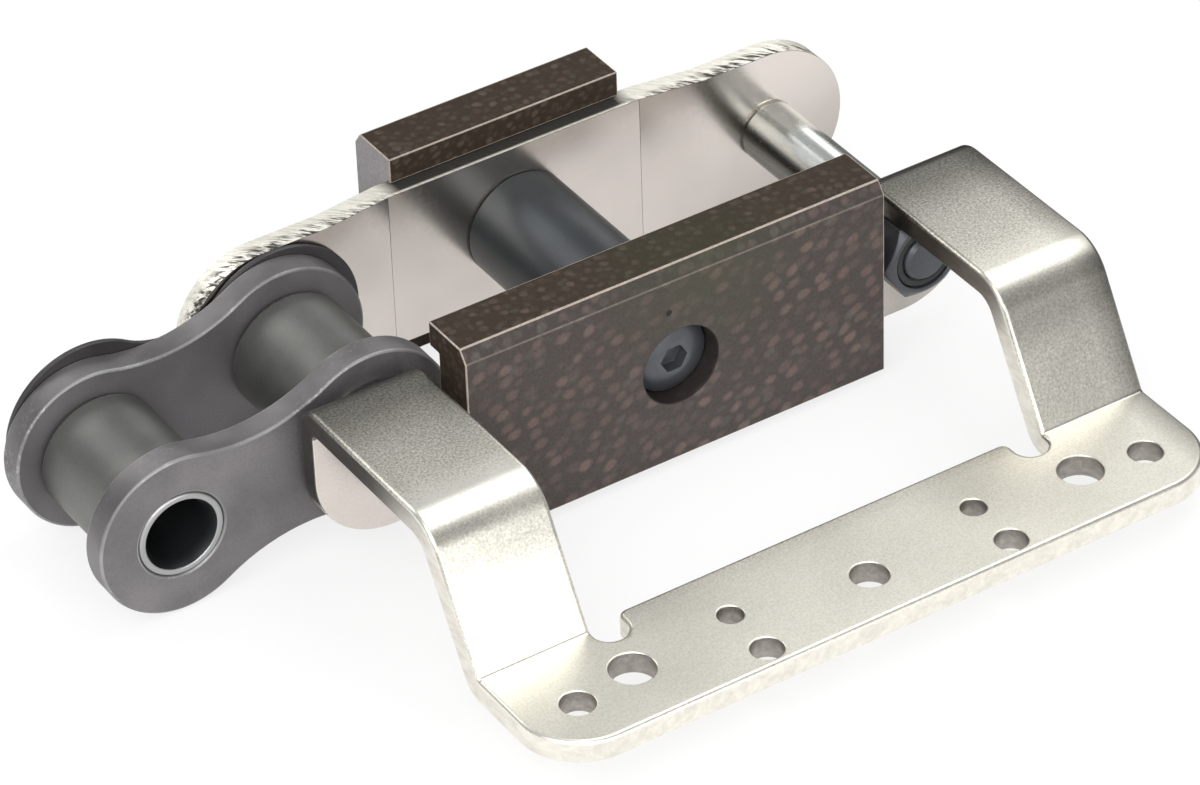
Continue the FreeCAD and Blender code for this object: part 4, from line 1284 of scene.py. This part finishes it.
class CHAIN_OT_stage(bpy.types.Operator):
    """Set up the floor, the soft lights, the background and the camera"""

    bl_idname = "chain.stage"
    bl_label = "Stage"

    def execute(self, context):
        self.floor()
        self.background(context.scene)
        softbox("key", (-0.45, -0.35, 0.45), (0.5, 0.6), 3.2)
        softbox("front", (-0.06, -0.43, 0.13), (0.32, 0.2), 0.72)
        softbox("overhead", (0.15, 0.02, 0.42), (0.3, 0.36), 0.75)
        softbox("back", (-0.16, 0.36, 0.3), (0.3, 0.2), 0.4)
        softbox("rear", (0.36, 0.34, 0.26), (0.25, 0.2), 0.2)
        self.camera(context.scene)
        context.scene.view_settings.view_transform = "Standard"
        return {"FINISHED"}

    def floor(self):
        """A pale floor, white to the camera, dim in mirrors behind the part, that fades out."""
        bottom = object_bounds()[0].z
        bpy.ops.object.select_all(action="DESELECT")
        bpy.ops.mesh.primitive_plane_add(size=3.0, location=(MIDDLE_X, 0, bottom - 0.0002))
        plane = bpy.context.active_object
        plane.name = "floor"
        material, tree, shader = new_material(
            "pale_floor", Roughness=0.9, Specular_IOR_Level=0.1)
        place = object_place(tree)
        pale = tones(tree, spread(tree, noise(tree, place, 3.0)["Fac"], 0.3, 0.7), WHITE,
                     0.86, 0.9)
        tree.links.new(pale, shader.inputs["Base Color"])
        rays = add(tree, "LightPath").outputs
        dim = spread(tree, calc_vector(tree, "DOT_PRODUCT", place, BEHIND), 0.012, 0.04)
        mirrored = calc(tree, "MULTIPLY_ADD", dim, -0.88, 1.0)
        white = add(tree, "Emission", {
            "Color": WHITE, "Strength": blend(tree, rays["Is Camera Ray"], mirrored, 1.0)})
        shine = calc(tree, "MULTIPLY", rays["Is Glossy Ray"], run(tree, dim, 0.56, 0.95))
        share = calc(tree, "MULTIPLY_ADD", rays["Is Camera Ray"], 0.78, shine)
        lit = add(tree, "MixShader", {0: share, 1: shader.outputs[0], 2: white.outputs[0]})
        away = spread(tree, calc_vector(tree, "LENGTH", place), 0.1, 0.3)
        faded = add(tree, "MixShader", {
            0: away, 1: lit.outputs[0], 2: add(tree, "BsdfTransparent").outputs[0]})
        out = next(node for node in tree.nodes if node.type == "OUTPUT_MATERIAL")
        tree.links.new(faded.outputs[0], out.inputs["Surface"])
        plane.data.materials.append(material)
        plane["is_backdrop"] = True

    def background(self, scene):
        """White to the camera, and a sky for mirrors that darkens low behind the part."""
        world = bpy.data.worlds.new("studio")
        scene.world = world
        world.use_nodes = True
        tree = world.node_tree
        rays = add(tree, "LightPath").outputs
        seen = calc(tree, "MAXIMUM", rays["Is Camera Ray"], rays["Is Transmission Ray"])
        where = add(tree, "TexCoord").outputs["Generated"]
        height = parts(tree, where)["Z"]
        behind = calc_vector(tree, "DOT_PRODUCT", where, BEHIND)
        dim = calc(tree, "MULTIPLY", spread(tree, behind, 0.45, 0.75),
                   spread(tree, height, 0.35, 0.15))
        sky = blend(tree, dim, spread(tree, height, 0.0, 0.3, 1.0, 0.34), 0.1)
        unseen = blend(tree, rays["Is Glossy Ray"], 0.6, sky)
        back = next(node for node in tree.nodes if node.type == "BACKGROUND")
        tree.links.new(blend(tree, seen, unseen, 1.0), back.inputs["Strength"])
        back.inputs["Color"].default_value = WHITE

    def camera(self, scene):
        """The photograph's camera: its place, yaw, pitch and roll, and its focus in pixels."""
        wide, focus = 1200, 5666.85
        yaw, pitch, roll = (math.radians(angle) for angle in CAMERA_TURN)
        ahead = Vector((-math.sin(yaw) * math.cos(pitch), math.cos(yaw) * math.cos(pitch),
                        math.sin(pitch)))
        painted_light_level = Vector((math.cos(yaw), math.sin(yaw), 0))
        above = painted_light_level.cross(ahead)
        right = painted_light_level * math.cos(roll) + above * math.sin(roll)
        upward = above * math.cos(roll) - painted_light_level * math.sin(roll)
        bpy.ops.object.camera_add()
        camera = bpy.context.active_object
        camera.name = "camera"
        camera.matrix_world = Matrix((
            (right.x, upward.x, -ahead.x, CAMERA_PLACE.x),
            (right.y, upward.y, -ahead.y, CAMERA_PLACE.y),
            (right.z, upward.z, -ahead.z, CAMERA_PLACE.z),
            (0, 0, 0, 1)))
        camera.data.sensor_width = 36
        camera.data.lens = focus * 36 / wide
        camera.data.shift_x = (600 - 600.56) / wide
        camera.data.shift_y = (370.69 - 392.5) / wide
        camera.data.clip_start = 0.01
        camera.data.clip_end = 10
        scene.camera = camera


PIECES = (
    CHAIN_OT_inner_plates, CHAIN_OT_cover_plate, CHAIN_OT_bushes, CHAIN_OT_rollers,
    CHAIN_OT_far_plate, CHAIN_OT_attachment_plate, CHAIN_OT_pins, CHAIN_OT_nuts,
    CHAIN_OT_spacer, CHAIN_OT_glide_blocks, CHAIN_OT_block_screw, CHAIN_OT_stage)


class CHAIN_PT_panel(bpy.types.Panel):
    """The pieces of the chain link, in the order in which they are made"""

    bl_label = "Conveyor chain link"
    bl_idname = "CHAIN_PT_panel"
    bl_space_type = "VIEW_3D"
    bl_region_type = "UI"
    bl_category = "Chain"

    def draw(self, context):
        for group_name in ("chain_sizes", "chain_colours"):
            box = self.layout.box()
            settings = getattr(context.scene, group_name)
            for name in settings.__annotations__:
                box.prop(settings, name)
        for operator in PIECES:
            self.layout.operator(operator.bl_idname)


CLASSES = (ChainSizes, ChainColours) + PIECES + (CHAIN_PT_panel,)


def register():
    for item in CLASSES:
        bpy.utils.register_class(item)
    bpy.types.Scene.chain_sizes = bpy.props.PointerProperty(type=ChainSizes)
    bpy.types.Scene.chain_colours = bpy.props.PointerProperty(type=ChainColours)


def unregister():
    del bpy.types.Scene.chain_colours
    del bpy.types.Scene.chain_sizes
    for item in reversed(CLASSES):
        bpy.utils.unregister_class(item)


def main():
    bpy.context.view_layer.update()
    register()
    for operator in PIECES:
        group_name, name = operator.bl_idname.split(".")
        getattr(getattr(bpy.ops, group_name), name)()


if __name__ == "__main__":
    main()
